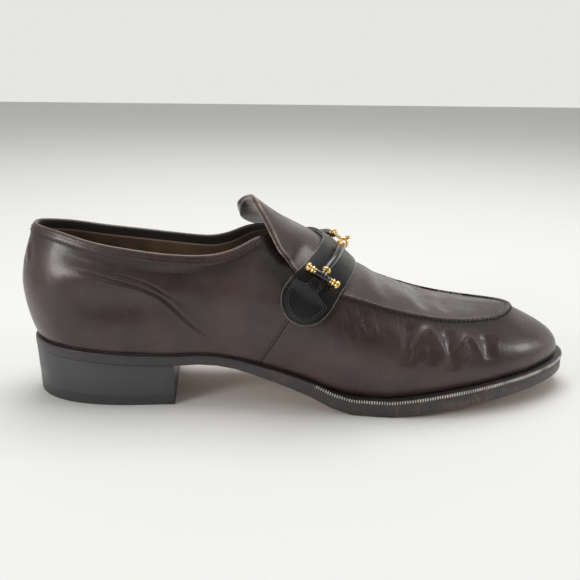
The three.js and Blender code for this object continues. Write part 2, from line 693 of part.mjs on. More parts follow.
// Where its under face lies, past the strap: its outer side edge, its crest and its inner edge.
// The tip leans to the inner side, as it has been worn.
const flapRows = [
  { near: [133.4, -35.4, 80.8], crest: [141.2, 0, 88.8], far: [131.6, 35.2, 80.9] },
  { near: [130.4, -34.6, 84.2], crest: [133.6, 0, 93.2], far: [125.5, 34, 82.8] },
  { near: [126.4, -28, 91.8], crest: [126.6, 0, 97.8], far: [117.2, 28, 87] },
  { near: [122.6, -20, 98.6], crest: [120.8, 0.5, 101.8], far: [112.4, 20, 91.8] },
  { near: [118.6, -10, 104], crest: [116, 1, 104.6], far: [112.4, 10, 98.8] },
];
const FLAP_ARCH = 0.1;         // how far its section bows above a straight line, for its length
const FLAP_ACROSS = 12;
const FLAP_UNDER = 7;          // how far it goes under the strap

// On the face, how far each row goes along the strap from the crest, and how far across it lies
const flapRoot = [
  { reach: 42, across: -STRAP_HALF + FLAP_UNDER }, { reach: 46, across: -STRAP_HALF },
  { reach: 43.5, across: -STRAP_HALF - 8 },
];
const FLAP_REACH = 46;         // the widest of them

function flapSection(row) {
  const [near, crest, far] = [row.near, row.crest, row.far].map((p) => new THREE.Vector3(...p));
  const between = (edgePoint) => {
    const chord = edgePoint.clone().sub(crest);
    const out = new THREE.Vector3(0, -chord.z, chord.y).normalize();
    if (out.z < 0) out.negate();
    return edgePoint.clone().lerp(crest, 0.5).addScaledVector(out, FLAP_ARCH * chord.length());
  };
  const stops = [near, between(near), crest, between(far), far];
  const curves = ['x', 'y', 'z'].map((name) => smooth([-1, -0.5, 0, 0.5, 1], stops.map((p) => p[name])));
  return (across) => new THREE.Vector3(...curves.map((curve) => curve(across)));
}

function flap() {
  const shares = Array.from({ length: FLAP_ACROSS + 1 }, (_, i) => (2 * i) / FLAP_ACROSS - 1);
  const onFace = flapRoot.map(({ reach, across }, i) => (
    shares.map((share) => lifted(strapPlace(share * reach, across), GAP + 0.4 + 0.1 * i))));
  const free = flapRows.map((row) => shares.map(flapSection(row)));
  const stops = [...onFace, ...free];
  const knots = stops.map((_, i) => i);
  const rows = [];
  for (let i = 0; i <= (stops.length - 1) * 2; i += 1) rows.push(shares.map(() => new THREE.Vector3()));
  shares.forEach((_, k) => ['x', 'y', 'z'].forEach((name) => {
    const curve = smooth(knots, stops.map((row) => row[k][name]));
    rows.forEach((row, i) => { row[k][name] = curve(i / 2); });
  }));
  const top = rows.map((row, i) => row.map((p, k) => {
    const along = rows[Math.min(i + 1, rows.length - 1)][k].clone().sub(rows[Math.max(i - 1, 0)][k]);
    const across = row[Math.min(k + 1, row.length - 1)].clone().sub(row[Math.max(k - 1, 0)]);
    const out = along.cross(across).normalize();
    if (out.z < 0) out.negate();
    return p.clone().addScaledVector(out, FLAP_THICKNESS);
  }));
  return sheet(rows, top);
}

// Strap: a band over the instep that ends in a round tab on each side
const TAB_CENTRE = 53;         // from the crest to the middle of each tab

function strapHalf(along) {
  const past = Math.abs(along) - TAB_CENTRE;
  if (past > 0) return Math.sqrt(Math.max(0, TAB_RADIUS ** 2 - past ** 2));
  return mix(STRAP_HALF, TAB_RADIUS, ease(-14, -2, past));
}

// It climbs over the flap's end at its back edge and comes down to the vamp at its front edge
function strapLift(along, across) {
  const over = 1 - ease(FLAP_REACH + 1, FLAP_REACH + 8, Math.abs(along));
  const ramp = 1 - THREE.MathUtils.clamp((across + STRAP_HALF - FLAP_UNDER) / (2 * STRAP_HALF - FLAP_UNDER), 0, 1);
  return GAP + over * ramp * (FLAP_THICKNESS + 3 * GAP);
}
const strapTop = (along, across) => lifted(
  strapPlace(along, across), strapLift(along, across) + STRAP_THICKNESS,
);

const STRAP_STEPS = 24;

function strap() {
  const tab = [84, 66, 48, 32, 16].map((angle) => TAB_CENTRE + TAB_RADIUS * Math.sin(radians(angle)));
  const middle = Array.from({ length: STRAP_STEPS + 1 }, (_, i) => (
    TAB_CENTRE * ((2 * i) / STRAP_STEPS - 1)));
  const stations = [...tab.map((far) => -far), ...middle, ...[...tab].reverse()];
  const shares = [-1, -0.62, -0.25, 0.25, 0.62, 1];
  const grid = (extra) => stations.map((along) => shares.map((share) => {
    const across = share * strapHalf(along);
    return lifted(strapPlace(along, across), strapLift(along, across) + extra);
  }));
  return sheet(grid(0), grid(STRAP_THICKNESS));
}

// Bit: two half bars along the strap, each from a crossbar up to a collar, and a thin link over
// the crest that joins them
const BIT_REACH = 42;          // from the crest along the strap to each crossbar
const BIT_ACROSS = -1.6;       // the bit lies behind the strap's middle line
const CROSSBAR_HALF = 6.7;
const CROSSBAR_RISE = KNOB_RADIUS + GAP;
const CROSSBAR_TWIST = radians(11);  // their front ends lean up the strap

// Where a crossbar's axis lies: over the highest of the places on the strap that it crosses
function crossbar(along) {
  const reach = CROSSBAR_HALF + KNOB_RADIUS;
  const places = [-1, -0.5, 0, 0.5, 1].map((share) => strapTop(along, BIT_ACROSS + share * reach));
  const square = places[4].clone().sub(places[0]).normalize();
  const toInner = strapTop(along + 2, BIT_ACROSS).sub(strapTop(along - 2, BIT_ACROSS));
  const out = square.clone().cross(toInner).normalize();
  if (out.z < 0) out.negate();
  const centre = places[0].clone().lerp(places[4], 0.5);
  const bulge = Math.max(...places.map((p) => p.clone().sub(centre).dot(out)));
  const toCrest = square.clone().cross(out);
  if (toCrest.y * along > 0) toCrest.negate();
  const across = square.multiplyScalar(Math.cos(CROSSBAR_TWIST))
    .addScaledVector(toCrest, Math.sin(CROSSBAR_TWIST));
  const toTab = across.clone().cross(out);
  if (toTab.dot(toCrest) > 0) toTab.negate();
  return { centre: centre.addScaledVector(out, CROSSBAR_RISE + bulge), across, out, toTab };
}

// A rod between two points
function rod(from, to, radius, sides = 8) {
  const axis = to.clone().sub(from);
  const geometry = new THREE.CylinderGeometry(radius, radius, axis.length(), sides, 1);
  const turn = new THREE.Quaternion().setFromUnitVectors(
    new THREE.Vector3(0, 1, 0), axis.clone().normalize(),
  );
  geometry.applyQuaternion(turn);
  const middle = from.clone().lerp(to, 0.5);
  return geometry.translate(middle.x, middle.y, middle.z);
}

// A ball with its poles on the axis of the rod it sits on
function ball(centre, direction, radius) {
  const geometry = new THREE.SphereGeometry(radius, 8, 5);
  geometry.applyQuaternion(new THREE.Quaternion().setFromUnitVectors(new THREE.Vector3(0, 1, 0), direction));
  return geometry.translate(centre.x, centre.y, centre.z);
}

// A knob on the end of a rod: a collar, then a ball
function knob(end, direction) {
  const at = (distance) => end.clone().addScaledVector(direction, distance);
  return [rod(at(-1.4), at(0), KNOB_RADIUS * 0.95), ball(at(KNOB_RADIUS * 0.9), direction, KNOB_RADIUS)];
}

// A bent rod of one radius through a row of points
function bentRod(path, side, radius, sides = 8) {
  const shell = new Shell();
  const rings = path.map((p, i) => {
    const along = path[Math.min(i + 1, path.length - 1)].clone().sub(path[Math.max(i - 1, 0)]).normalize();
    const up = side.clone().cross(along).normalize();
    const level = along.clone().cross(up);
    return Array.from({ length: sides }, (_, k) => {
      const angle = (2 * Math.PI * (k + 0.5)) / sides;
      return shell.point(p.clone().addScaledVector(up, radius * Math.cos(angle))
        .addScaledVector(level, radius * Math.sin(angle)));
    });
  });
  for (let i = 0; i + 1 < rings.length; i += 1) shell.band(rings[i], rings[i + 1], true);
  for (const [ring, p] of [[[...rings[0]].reverse(), path[0]], [rings[rings.length - 1], path[path.length - 1]]]) {
    const middle = shell.point(p);
    ring.forEach((corner, k) => shell.triangle(corner, ring[(k + 1) % ring.length], middle));
  }
  return shell.geometry();
}

const BAR_STEPS = 4;           // of a half bar
const LINK_STEPS = 6;
const HUB_SETBACK = 3.4;       // from a crossbar to the hub's knob on the bar
const COLLAR_AT = 16;          // from the crest to each collar
const COLLAR_LENGTH = 2.2;
const LINK_RADIUS = 0.9;
const RING_AT = 11;            // from the crest to the upright ring at the link's outer end
const RING_RADIUS = 2.3;
const RING_WIRE = 0.75;
const RING_RISE = 0.9;         // the ring's centre above the link's axis
const BEAD_RADIUS = 1.15;      // on top of the ring

// Points on the bit's middle line
const bitLine = (from, to, steps) => Array.from({ length: steps + 1 }, (_, i) => (
  crossbar(mix(from, to, i / steps)).centre));

// One end of the bit, on one side of the crest
function halfBit(side) {
  const { centre, across } = crossbar(side * BIT_REACH);
  const tips = [-1, 1].map((way) => centre.clone().addScaledVector(across, way * CROSSBAR_HALF));
  const path = bitLine(side * BIT_REACH, side * COLLAR_AT, BAR_STEPS);
  const along = path[1].clone().sub(path[0]).normalize();
  const collar = bitLine(side * (COLLAR_AT + COLLAR_LENGTH / 2), side * (COLLAR_AT - COLLAR_LENGTH / 2), 1);
  return [
    rod(tips[0], tips[1], CROSSBAR_RADIUS),
    ...knob(tips[0], across.clone().negate()), ...knob(tips[1], across),
    bentRod(path, across, BAR_RADIUS),
    ball(centre.clone().addScaledVector(along, HUB_SETBACK), along, KNOB_RADIUS + 0.2),
    rod(...collar, KNOB_RADIUS),
  ];
}

// The upright ring that the link hangs in, and its bead
function linkRing() {
  const seat = crossbar(-RING_AT);
  const [before, after] = bitLine(-RING_AT - 1, -RING_AT + 1, 1);
  const lengthwise = after.clone().sub(before).normalize();
  const middle = seat.centre.clone().addScaledVector(seat.out, RING_RISE);
  const ring = new THREE.TorusGeometry(RING_RADIUS, RING_WIRE, 5, 10);
  ring.applyQuaternion(new THREE.Quaternion().setFromUnitVectors(new THREE.Vector3(0, 0, 1), lengthwise));
  ring.translate(middle.x, middle.y, middle.z);
  const top = middle.clone().addScaledVector(seat.out, RING_RADIUS + BEAD_RADIUS / 2);
  return [ring, ball(top, seat.out, BEAD_RADIUS)];
}

function bit() {
  const link = bentRod(bitLine(-COLLAR_AT, COLLAR_AT, LINK_STEPS), crossbar(0).across, LINK_RADIUS, 6);
  return join(...halfBit(-1), ...halfBit(1), link, ...linkRing());
}

// Keepers: a second layer on each tab whose neck goes up to the crossbar
const KEEPER_INSET = 2.6;      // from the strap's edge
const KEEPER_GAP = 0.4;
const NECK_HALF = 3.5;
const NECK_FROM = 6.6;         // from the crossbar back to the neck's root
const NECK_FADE = 1.2;
const BAR_GRIP = 2.9;          // nearer than this the neck follows the crossbar, not the strap

// The neck's under face, from the strap up to the crossbar: distance back from the crossbar's
// axis, height above the strap, and the angle its outward direction makes with the strap
const neckRows = [
  { back: 5.2, height: KEEPER_GAP, angle: 90 }, { back: 3.7, height: 0.5, angle: 84 },
  { back: 2.3, height: 0.8, angle: 74 },
];

function keeper(side) {
  const frame = crossbar(side * BIT_REACH);
  const rootAt = BIT_REACH + NECK_FROM;
  const end = TAB_CENTRE + TAB_RADIUS - KEEPER_INSET;
  const halfAt = (far) => {
    const past = far - TAB_CENTRE;
    if (past > 0) return Math.sqrt(Math.max(0, (TAB_RADIUS - KEEPER_INSET) ** 2 - past ** 2));
    return mix(NECK_HALF, strapHalf(far) - KEEPER_INSET, ease(rootAt, rootAt + NECK_FADE, far));
  };
  const tab = [84, 62, 40, 20].map((angle) => (
    TAB_CENTRE + (TAB_RADIUS - KEEPER_INSET) * Math.sin(radians(angle))));
  const body = Array.from({ length: STRAP_STEPS / 2 }, (_, i) => TAB_CENTRE * (1 - (2 * i) / STRAP_STEPS))
    .filter((far) => far > rootAt + NECK_FADE + 1);
  const rows = [...tab, ...body, rootAt + NECK_FADE, rootAt].map((far) => (
    { back: far - BIT_REACH, height: KEEPER_GAP, angle: 90 }));
  const shares = [-1, -0.5, 0, 0.5, 1];
  const grid = (thickness) => [...rows, ...neckRows].map((row) => shares.map((share) => {
    const back = row.back + thickness * Math.cos(radians(row.angle));
    const height = row.height + thickness * Math.sin(radians(row.angle));
    const across = share * halfAt(BIT_REACH + row.back);
    const along = side * (BIT_REACH + back);
    const shifted = across + BIT_ACROSS * (1 - ease(rootAt, rootAt + NECK_FADE, BIT_REACH + row.back));
    const onStrap = lifted(
      strapPlace(along, shifted), strapLift(along, shifted) + STRAP_THICKNESS + height,
    );
    const byBar = frame.centre.clone().addScaledVector(frame.across, across)
      .addScaledVector(frame.toTab, back).addScaledVector(frame.out, height - CROSSBAR_RISE);
    return onStrap.lerp(byBar, 1 - ease(BAR_GRIP, BAR_GRIP + 2.4, row.back));
  }));
  return sheet(grid(0), grid(KEEPER_THICKNESS));
}

const shoe = new THREE.Group();
shoe.position.x = -HEEL_CENTRE;

const leather = { roughness: 0.45, metalness: 0 };
const finishes = {
  brownLeather: new THREE.MeshStandardMaterial({ color: 0x3d2f2d, ...leather }),
  blackLeather: new THREE.MeshStandardMaterial({ color: 0x1b1c1e, ...leather }),
  soleLeather: new THREE.MeshStandardMaterial({ color: 0x232122, roughness: 0.5, metalness: 0 }),
  heelRubber: new THREE.MeshStandardMaterial({ color: 0x2a2a2c, roughness: 0.6, metalness: 0 }),
  gold: new THREE.MeshStandardMaterial({ color: 0xd8a94a, roughness: 0.25, metalness: 1 }),
  lining: new THREE.MeshStandardMaterial({ color: 0x5a4a34, roughness: 0.8, metalness: 0 }),
};

function add(name, geometry, material) {
  const mesh = new THREE.Mesh(geometry, material);
  mesh.name = name;
  shoe.add(mesh);
}

add('upper', upper(), finishes.brownLeather);
add('tongue', flap(), finishes.brownLeather);
add('strap', strap(), finishes.blackLeather);
add('bit', bit(), finishes.gold);
add('keeper_outer', keeper(-1), finishes.blackLeather);
add('keeper_inner', keeper(1), finishes.blackLeather);
add('insole', insole(), finishes.lining);
add('welt', welt(), finishes.soleLeather);
add('outsole', outsole(), finishes.soleLeather);
add('heel_stack', heelStack(), finishes.soleLeather);
add('heel_lift', heelLift(), finishes.heelRubber);

export default shoe;
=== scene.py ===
# A right-foot horsebit loafer in dark brown calf, with a black strap and a gilt bit, standing on a
# pale floor. Metres, +X to the toe, +Y to the inner side of the foot, +Z up. Tables of places and
# sizes are in millimetres, and so are the lengths that the functions take.

import math

import bmesh
import bpy
import numpy as np
from mathutils import Matrix, Vector, noise
from mathutils.bvhtree import BVHTree


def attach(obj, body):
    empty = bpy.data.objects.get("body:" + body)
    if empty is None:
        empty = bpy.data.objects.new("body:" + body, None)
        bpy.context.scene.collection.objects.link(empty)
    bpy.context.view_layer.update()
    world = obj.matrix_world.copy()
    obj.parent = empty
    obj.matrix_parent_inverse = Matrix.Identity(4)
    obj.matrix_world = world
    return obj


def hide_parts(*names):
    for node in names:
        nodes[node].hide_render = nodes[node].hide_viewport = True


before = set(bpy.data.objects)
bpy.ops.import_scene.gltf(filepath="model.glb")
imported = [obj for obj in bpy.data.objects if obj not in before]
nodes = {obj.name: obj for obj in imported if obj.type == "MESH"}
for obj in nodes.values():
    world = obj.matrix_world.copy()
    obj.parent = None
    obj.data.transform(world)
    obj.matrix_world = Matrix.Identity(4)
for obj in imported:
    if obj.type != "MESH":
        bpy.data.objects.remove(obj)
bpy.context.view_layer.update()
MM = 0.001


# Upper
# Dark brown calf over a lining, pulled over the last: quarters, vamp, and the apron that is sewn
# on with a raised seam. It is one shell with a bound collar, creased across the ball by wear.

def focus(piece):
    """Selects one piece alone, for the operators that follow."""
    bpy.ops.object.select_all(action="DESELECT")
    piece.select_set(True)
    bpy.context.view_layer.objects.active = piece


def copy_of(solid, name):
    """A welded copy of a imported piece, with its four-sided faces back."""
    mesh = nodes[solid].data.copy()
    mesh.materials.clear()
    piece = bpy.data.objects.new(name, mesh)
    bpy.context.scene.collection.objects.link(piece)
    focus(piece)
    bpy.ops.object.mode_set(mode="EDIT")
    bpy.ops.mesh.select_all(action="SELECT")
    bpy.ops.mesh.remove_doubles(threshold=0.01 * MM)
    bpy.ops.mesh.tris_convert_to_quads(
        face_threshold=math.radians(50), shape_threshold=math.radians(70))
    bpy.ops.object.mode_set(mode="OBJECT")
    bpy.ops.mesh.customdata_custom_splitnormals_clear()
    return piece


def finish_with(piece, kind, **settings):
    """Adds one modifier and applies it."""
    focus(piece)
    modifier = piece.modifiers.new(kind.title(), kind)
    for key, value in settings.items():
        setattr(modifier, key, value)
    bpy.ops.object.modifier_apply(modifier=modifier.name)


def smooth(piece):
    """Shades a piece smooth."""
    focus(piece)
    bpy.ops.object.shade_smooth()


def places(piece):
    """The piece's points, in millimetres."""
    flat = np.empty(len(piece.data.vertices) * 3)
    piece.data.vertices.foreach_get("co", flat)
    return flat.reshape(-1, 3) / MM


def normals(piece):
    """The way that each point of the piece faces."""
    flat = np.empty(len(piece.data.vertices) * 3)
    piece.data.vertices.foreach_get("normal", flat)
    return flat.reshape(-1, 3)


def move_to(piece, points):
    """Moves the piece's points to places in millimetres."""
    piece.data.vertices.foreach_set("co", (points * MM).ravel())
    piece.data.update()


def store(piece, name, values):
    """Keeps one number for each point, for the materials to read."""
    layer = piece.data.attributes.get(name) or piece.data.attributes.new(name, "FLOAT", "POINT")
    layer.data.foreach_set("value", np.asarray(values, dtype=np.float32))


def edges_of(piece, corner):
    """The piece's edges that turn by more than an angle, as pairs of points in millimetres."""
    net = bmesh.new()
    net.from_mesh(piece.data)
    found = []
    for line in net.edges:
        if len(line.link_faces) == 2 and line.calc_face_angle() > math.radians(corner):
            found.append(tuple(np.array(v.co) / MM for v in line.verts))
    net.free()
    return found


FAR = 1e3


def gap_to(points, a, b):
    """How far each point lies from a straight segment, and what share of it comes before that."""
    along = b - a
    share = np.clip((points - a) @ along / (along @ along), 0, 1)
    return np.linalg.norm(points - a - share[:, None] * along, axis=1), share


def distance(points, segments):
    """How far each point lies from the nearest of some straight segments."""
    nearest = np.full(len(points), FAR)
    for a, b in segments:
        nearest = np.minimum(nearest, gap_to(points, a, b)[0])
    return nearest


def outward(points, back=-12, front=200, y=-2.0, z=38.0):
    """Away from a line through the middle of the foot, from the heel to the toes."""
    count = len(points)
    middle = [np.clip(points[:, 0], back, front), np.full(count, y), np.full(count, z)]
    way = points - np.stack(middle, axis=1)
    return way / np.linalg.norm(way, axis=1)[:, None]


def bell(values, width):
    """One at nought, falling away smoothly past a width."""
    return np.exp(-(values / width) ** 2)


def unevenness(points, size):
    """A gentle wave over the leather, about as long as a size."""
    return np.array([noise.noise(Vector(p) / size) for p in points])


def through(rows, step=1.0):
    """A smooth line through rows of points, at even steps."""
    rows = [Vector(row) for row in rows]
    line = []
    for i in range(len(rows) - 1):
        a, b, c, d = (rows[max(0, i - 1)], rows[i], rows[i + 1], rows[min(len(rows) - 1, i + 2)])
        count = max(1, round((c - b).length / step))
        for k in range(count):
            t = k / count
            line.append(0.5 * (2 * b + (c - a) * t + (2 * a - 5 * b + 4 * c - d) * t * t
                               + (3 * b - 3 * c + d - a) * t ** 3))
    return line + [rows[-1]]


def segments_of(rows, step):
    """The straight segments of a smooth line through rows of points."""
    line = [np.array(p) for p in through(rows, step)]
    return list(zip(line, line[1:]))


# The collar's rim, from the throat round the heel to the throat again
rim = [
    (104, 0, 87.4), (93.2, 12.8, 90), (79.6, 20.1, 87.8), (69.6, 24.6, 82.2), (60.7, 26.5, 79.6),
    (51.5, 26.9, 79.9), (31.4, 26.1, 82.4), (13, 24.7, 84.9), (-2.4, 21.9, 87.4),
    (-15.5, 17.1, 90.5), (-25.8, 11.8, 92.4), (-32.1, 6.7, 93.4), (-33.8, 0, 93.6),
    (-32.1, -6.9, 93.4), (-25.8, -12.2, 92.4), (-15.5, -17.8, 90.4), (-2.4, -22.8, 87.2),
    (13, -25.9, 84.6), (31.2, -27.2, 82), (52.5, -27.5, 80.6), (63.8, -27.1, 81.6),
    (74.6, -25.2, 85.3), (84.5, -20.7, 91.1), (95.7, -13.3, 90.4), (104, 0, 87.4),
]
rim_segments = segments_of(rim, step=3)

# The apron's seam, from the strap's outer side round the toe to its inner side
apron_seam = [
    (121.7, -40, 63.6), (133, -40.7, 60.6), (144.1, -40.8, 57), (156.2, -40.9, 53.5),
    (168.9, -40.3, 50.7), (181, -38.5, 48.5), (192.4, -35.4, 47), (203.7, -31.3, 46.3),
    (212.3, -26.6, 46.3), (219.6, -19.3, 46.7), (225.3, -6.5, 47.1), (220.6, 9.1, 45.4),
    (213.3, 16, 44.7), (204.3, 20.1, 44.9), (194.1, 22.9, 45.8), (183.1, 25, 47.6),
    (170.6, 26.6, 50.6), (157.2, 28.1, 54.7), (143.6, 30.2, 60.2), (131.7, 32.4, 64.5),
]
seam_segments = segments_of(apron_seam, step=3)

# Creases: how wide and deep the trough is, how high its lips stand, and its line on the leather.
# A depth below zero is a ridge.
creases = [
    # The outer quarter: two sharp creases and two wide hollows
    (0.8, 0.85, 0.5, [
        (-12, -25.9, 73.4), (-2, -28.4, 71.4), (10.3, -30.1, 68.1), (18.7, -30.8, 65.8),
        (25.2, -31.3, 63.6), (30.6, -31.7, 61), (35.6, -32, 57.8), (41, -32.5, 52.6),
        (48, -32.9, 45.6), (55.1, -33.1, 40.1), (63.8, -33.5, 35.7)]),
    (0.9, 0.5, 0.4, [
        (2.8, -28.9, 72.5), (15.3, -30.2, 69.8), (25.2, -31, 66.8), (31.6, -31.6, 63.4),
        (38.6, -32.2, 58.4)]),
    (7, 0.9, 0.25, [(-14, -29, 54), (2.2, -31.2, 54.8), (17.4, -31.8, 55.8), (32, -32.1, 55)]),
    (4.5, 0.7, 0.5, [
        (-22.7, -18.3, 81.6), (-9.4, -23.7, 79), (10.4, -28, 74.9), (30, -30, 72.5),
        (48, -30.2, 72), (62, -31, 73.4)]),
    # The outer vamp: two sharp ridges, their wide feet, and the hollows beside them
    (1.4, -0.9, 0.1, [
        (157, -51.5, 34), (162, -49, 38.5), (168.7, -44.8, 45.2), (172.3, -46, 41.9),
        (175.6, -48.9, 36.2), (180, -50.4, 29)]),
    (1.4, -0.85, 0.1, [
        (181, -49.8, 31), (185.5, -47, 35.6), (191, -42.9, 39.8), (194.6, -43.6, 36.6),
        (197.4, -45.6, 32), (201, -47.2, 26.5)]),
    (4.2, -0.7, 0, [(163, -48.5, 40), (168.7, -44.8, 44), (172.3, -46, 41), (176, -49, 34)]),
    (4, -0.6, 0, [(185.5, -47, 35.6), (191, -42.9, 39), (194.6, -43.6, 36), (198, -45.8, 31)]),
    (3.8, 1.3, 0.2, [(159.6, -43, 48.6), (159.3, -47.5, 42.5), (158, -51.4, 34.7), (157, -53.2, 27)]),
    (3.4, 1.2, 0.2, [(179.6, -41.5, 44.4), (180.6, -46.7, 38), (181.6, -50.8, 29.7), (182, -51.8, 24)]),
    (3.4, 0.8, 0.2, [(201, -38.5, 40), (202.2, -43.4, 34), (202, -46.6, 28)]),
    (2.6, 0.6, 0.3, [(169.6, -46.6, 38.5), (170.4, -49.2, 33), (170, -51.3, 27)]),
    # The outer vamp, next to the strap
    (1.6, 0.5, 0.25, [(126, -42.9, 57), (129.3, -46.4, 49.6), (131.2, -49, 41.9)]),
    (1.6, 0.5, 0.25, [(134.9, -42.5, 55.2), (136.5, -46, 49.3), (139.3, -49.3, 41.9)]),
    (1.6, 0.45, 0.25, [(142.7, -42.7, 53), (143.8, -46.1, 48.2), (145, -48.8, 42.7)]),
    # Across the apron
    (5, 1.0, 0.3, [
        (156, 22, 57), (153.5, 8, 60), (151.5, -8, 61), (149.8, -24, 60.2), (149.2, -36, 57)]),
    (4, 1.1, 0.3, [
        (178, 22, 49.4), (176, 8, 50.6), (173.5, -8, 51.6), (171.4, -22, 52), (170.4, -36, 50.8)]),
    (3.5, 0.6, 0.3, [(191, 19, 46), (187.6, 2, 48.6), (184.4, -16, 49.2), (182.4, -31, 48.6)]),
    # The inner vamp
    (3.2, 0.9, 0.3, [(150, 34, 54), (152, 38.5, 46), (152, 41.5, 37), (150, 43, 28)]),
    (3.0, 0.8, 0.3, [(170, 31, 47), (172, 36.5, 40), (173, 40, 32), (173, 41.5, 25)]),
    (2.6, 0.6, 0.3, [(190, 27, 42), (192, 33, 36), (193, 36.5, 29)]),
    # The inner quarter
    (1.8, 0.8, 0.4, [(-8, 26.5, 70), (8, 28.6, 66), (22, 29.4, 61), (34, 30, 54), (44, 29, 46)]),
    # The back strip's edge
    (1.5, -0.4, 0.3, [(-36.2, -7.1, 83.8), (-36.5, -9.9, 79.1), (-36.1, -13.2, 73.5)]),
]

# A crease fades over this share of its length at each end, its lips stand this many widths from its
# line, and a trough under this width is sharp, with painted shade in it.
CREASE_ENDS = 0.22
LIP_AT = 2.1
SHARP_WIDTH = 1.2

# Where the leather is finely wrinkled and scuffed, and how far round each place
flex_places = [
    (130, -47, 48, 20), (160, -48, 42, 22), (185, -46, 37, 20), (160, 38, 42, 22),
    (201.3, -33.5, 44.1, 7), (187.9, -38.3, 44.8, 6), (210.8, -40.5, 33, 5),
]


def pressed(points, crease):
    """How far each point moves out for one crease, and how much painted shade it takes, deep in a sharp
    trough.
    """
    width, depth, lip, rows = crease
    segments = segments_of(rows, step=2)
    lengths = np.array([np.linalg.norm(b - a) for a, b in segments])
    starts = np.concatenate([[0], np.cumsum(lengths)])
    nearest = np.full(len(points), FAR)
    fade = np.zeros(len(points))
    for i, (a, b) in enumerate(segments):
        gap, share = gap_to(points, a, b)
        closer = gap < nearest
        nearest[closer] = gap[closer]
        place = (starts[i] + share * lengths[i]) / starts[-1]
        ends = np.clip(np.minimum(place, 1 - place) / CREASE_ENDS, 0, 1)
        fade[closer] = (ends * ends * (3 - 2 * ends))[closer]
    trough = bell(nearest, width) * fade
    lips = bell(nearest - LIP_AT * width, width) * fade
    sharp = depth > 0 and width < SHARP_WIDTH
    return depth * (lip * lips - trough), trough * sharp


upper = copy_of("upper", "upper_leather")
finish_with(upper, "SUBSURF", levels=2, render_levels=2)

# Finer faces where the leather is creased
FINE_REACH = 11
points = places(upper)
crease_segments = []
for *_, rows in creases:
    crease_segments += segments_of(rows, step=4)
near_crease = distance(points, crease_segments) < FINE_REACH
near_crease &= (normals(upper) * outward(points)).sum(1) > 0
focus(upper)
bpy.ops.object.mode_set(mode="EDIT")
bpy.ops.mesh.select_all(action="DESELECT")
bpy.ops.object.mode_set(mode="OBJECT")
for face in upper.data.polygons:
    face.select = all(near_crease[v] for v in face.vertices)
bpy.ops.object.mode_set(mode="EDIT")
bpy.ops.mesh.subdivide(number_cuts=1)
bpy.ops.object.mode_set(mode="OBJECT")

# The creases, and a slight unevenness all over. They begin a little away from the rim and from the
# apron's seam.
SWELL_SIZE = 17
SWELL_HEIGHT = 0.22
RIM_CALM = 4
RIM_FADE = 6
SEAM_CALM = 1.5
SEAM_FADE = 3
points = places(upper)
skin = (normals(upper) * outward(points)).sum(1) > 0
shift = np.zeros(len(points))
# Painted shade deep in each sharp crease's trough, for the calf's colour
trough = np.zeros(len(points))
for crease in creases:
    move, depth = pressed(points, crease)
    shift += move
    trough = np.maximum(trough, depth)
flex = np.zeros(len(points))
for x, y, z, reach in flex_places:
    flex = np.maximum(flex, bell(np.linalg.norm(points - np.array([x, y, z]), axis=1), reach))
shift += SWELL_HEIGHT * unevenness(points, SWELL_SIZE)
rim_gap = distance(points, rim_segments)
seam_gap = distance(points, seam_segments)
shift *= np.clip((rim_gap - RIM_CALM) / RIM_FADE, 0, 1)
shift *= np.clip((seam_gap - SEAM_CALM) / SEAM_FADE, 0, 1)
move_to(upper, points + normals(upper) * (shift * skin)[:, None])
store(upper, "rim_gap", rim_gap)
store(upper, "seam_gap", seam_gap)
store(upper, "trough", trough * skin)
store(upper, "flex", flex * skin)

# The dark gores at the throat, beside the flap, with the tongue's shadow painted over them
GORE_AND_SHADOW_WIDTH = 6.5
gore_and_shadow_lines = [
    (np.array([84, -24, 87]), np.array([98, -38, 69])),
    (np.array([84, 24, 86]), np.array([98, 36, 70])),
]
store(upper, "gore_and_shadow", bell(distance(points, gore_and_shadow_lines), GORE_AND_SHADOW_WIDTH) * skin)
smooth(upper)


def feed(tree, socket, value):
    """Gives a socket a colour or a number, or joins another socket to it."""
    if isinstance(value, tuple):
        socket.default_value = (*value, 1)
    elif isinstance(value, (int, float)):
        socket.default_value = value
    else:
        tree.links.new(value, socket)


def feed_all(tree, target, **values):
    """Feeds the sockets that the keys name, with _ for a space."""
    for key, value in values.items():
        feed(tree, target.inputs[key.replace("_", " ")], value)


def node(tree, kind, sockets, **settings):
    """A node of a material, with its sockets fed and its settings made."""
    made = tree.nodes.new(kind)
    for key, value in settings.items():
        setattr(made, key, value)
    feed_all(tree, made, **sockets)
    return made


def new_material(name):
    """An empty material, with its surface shader and a place on the object to read."""
    material = bpy.data.materials.new(name)
    material.use_nodes = True
    tree = material.node_tree
    shader = tree.nodes["Principled BSDF"]
    place = tree.nodes.new("ShaderNodeTexCoord")
    return material, tree, shader, place.outputs["Object"]


def spanned(tree, value, low, high, start, end, ease="LINEAR"):
    """A value run from one range to another."""
    sockets = {"Value": value, "From_Min": low, "From_Max": high, "To_Min": start, "To_Max": end}
    ramp = node(tree, "ShaderNodeMapRange", sockets, interpolation_type=ease)
    return ramp.outputs["Result"]


def read(tree, name, low, high, start=0.0, end=1.0):
    """A stored number of the mesh, run smoothly from one range to another."""
    value = node(tree, "ShaderNodeAttribute", {}, attribute_name=name)
    return spanned(tree, value.outputs["Fac"], low, high, start, end, "SMOOTHSTEP")


def pattern(tree, place, size, detail=3.0, rough=0.5, stretch=(1, 1, 1)):
    """Cloudy noise of a size in millimetres."""
    spread = node(tree, "ShaderNodeMapping", {"Vector": place})
    spread.inputs["Scale"].default_value = stretch
    sockets = {
        "Vector": spread.outputs["Vector"], "Scale": 1 / (size * MM), "Detail": detail,
        "Roughness": rough,
    }
    return node(tree, "ShaderNodeTexNoise", sockets).outputs["Fac"]


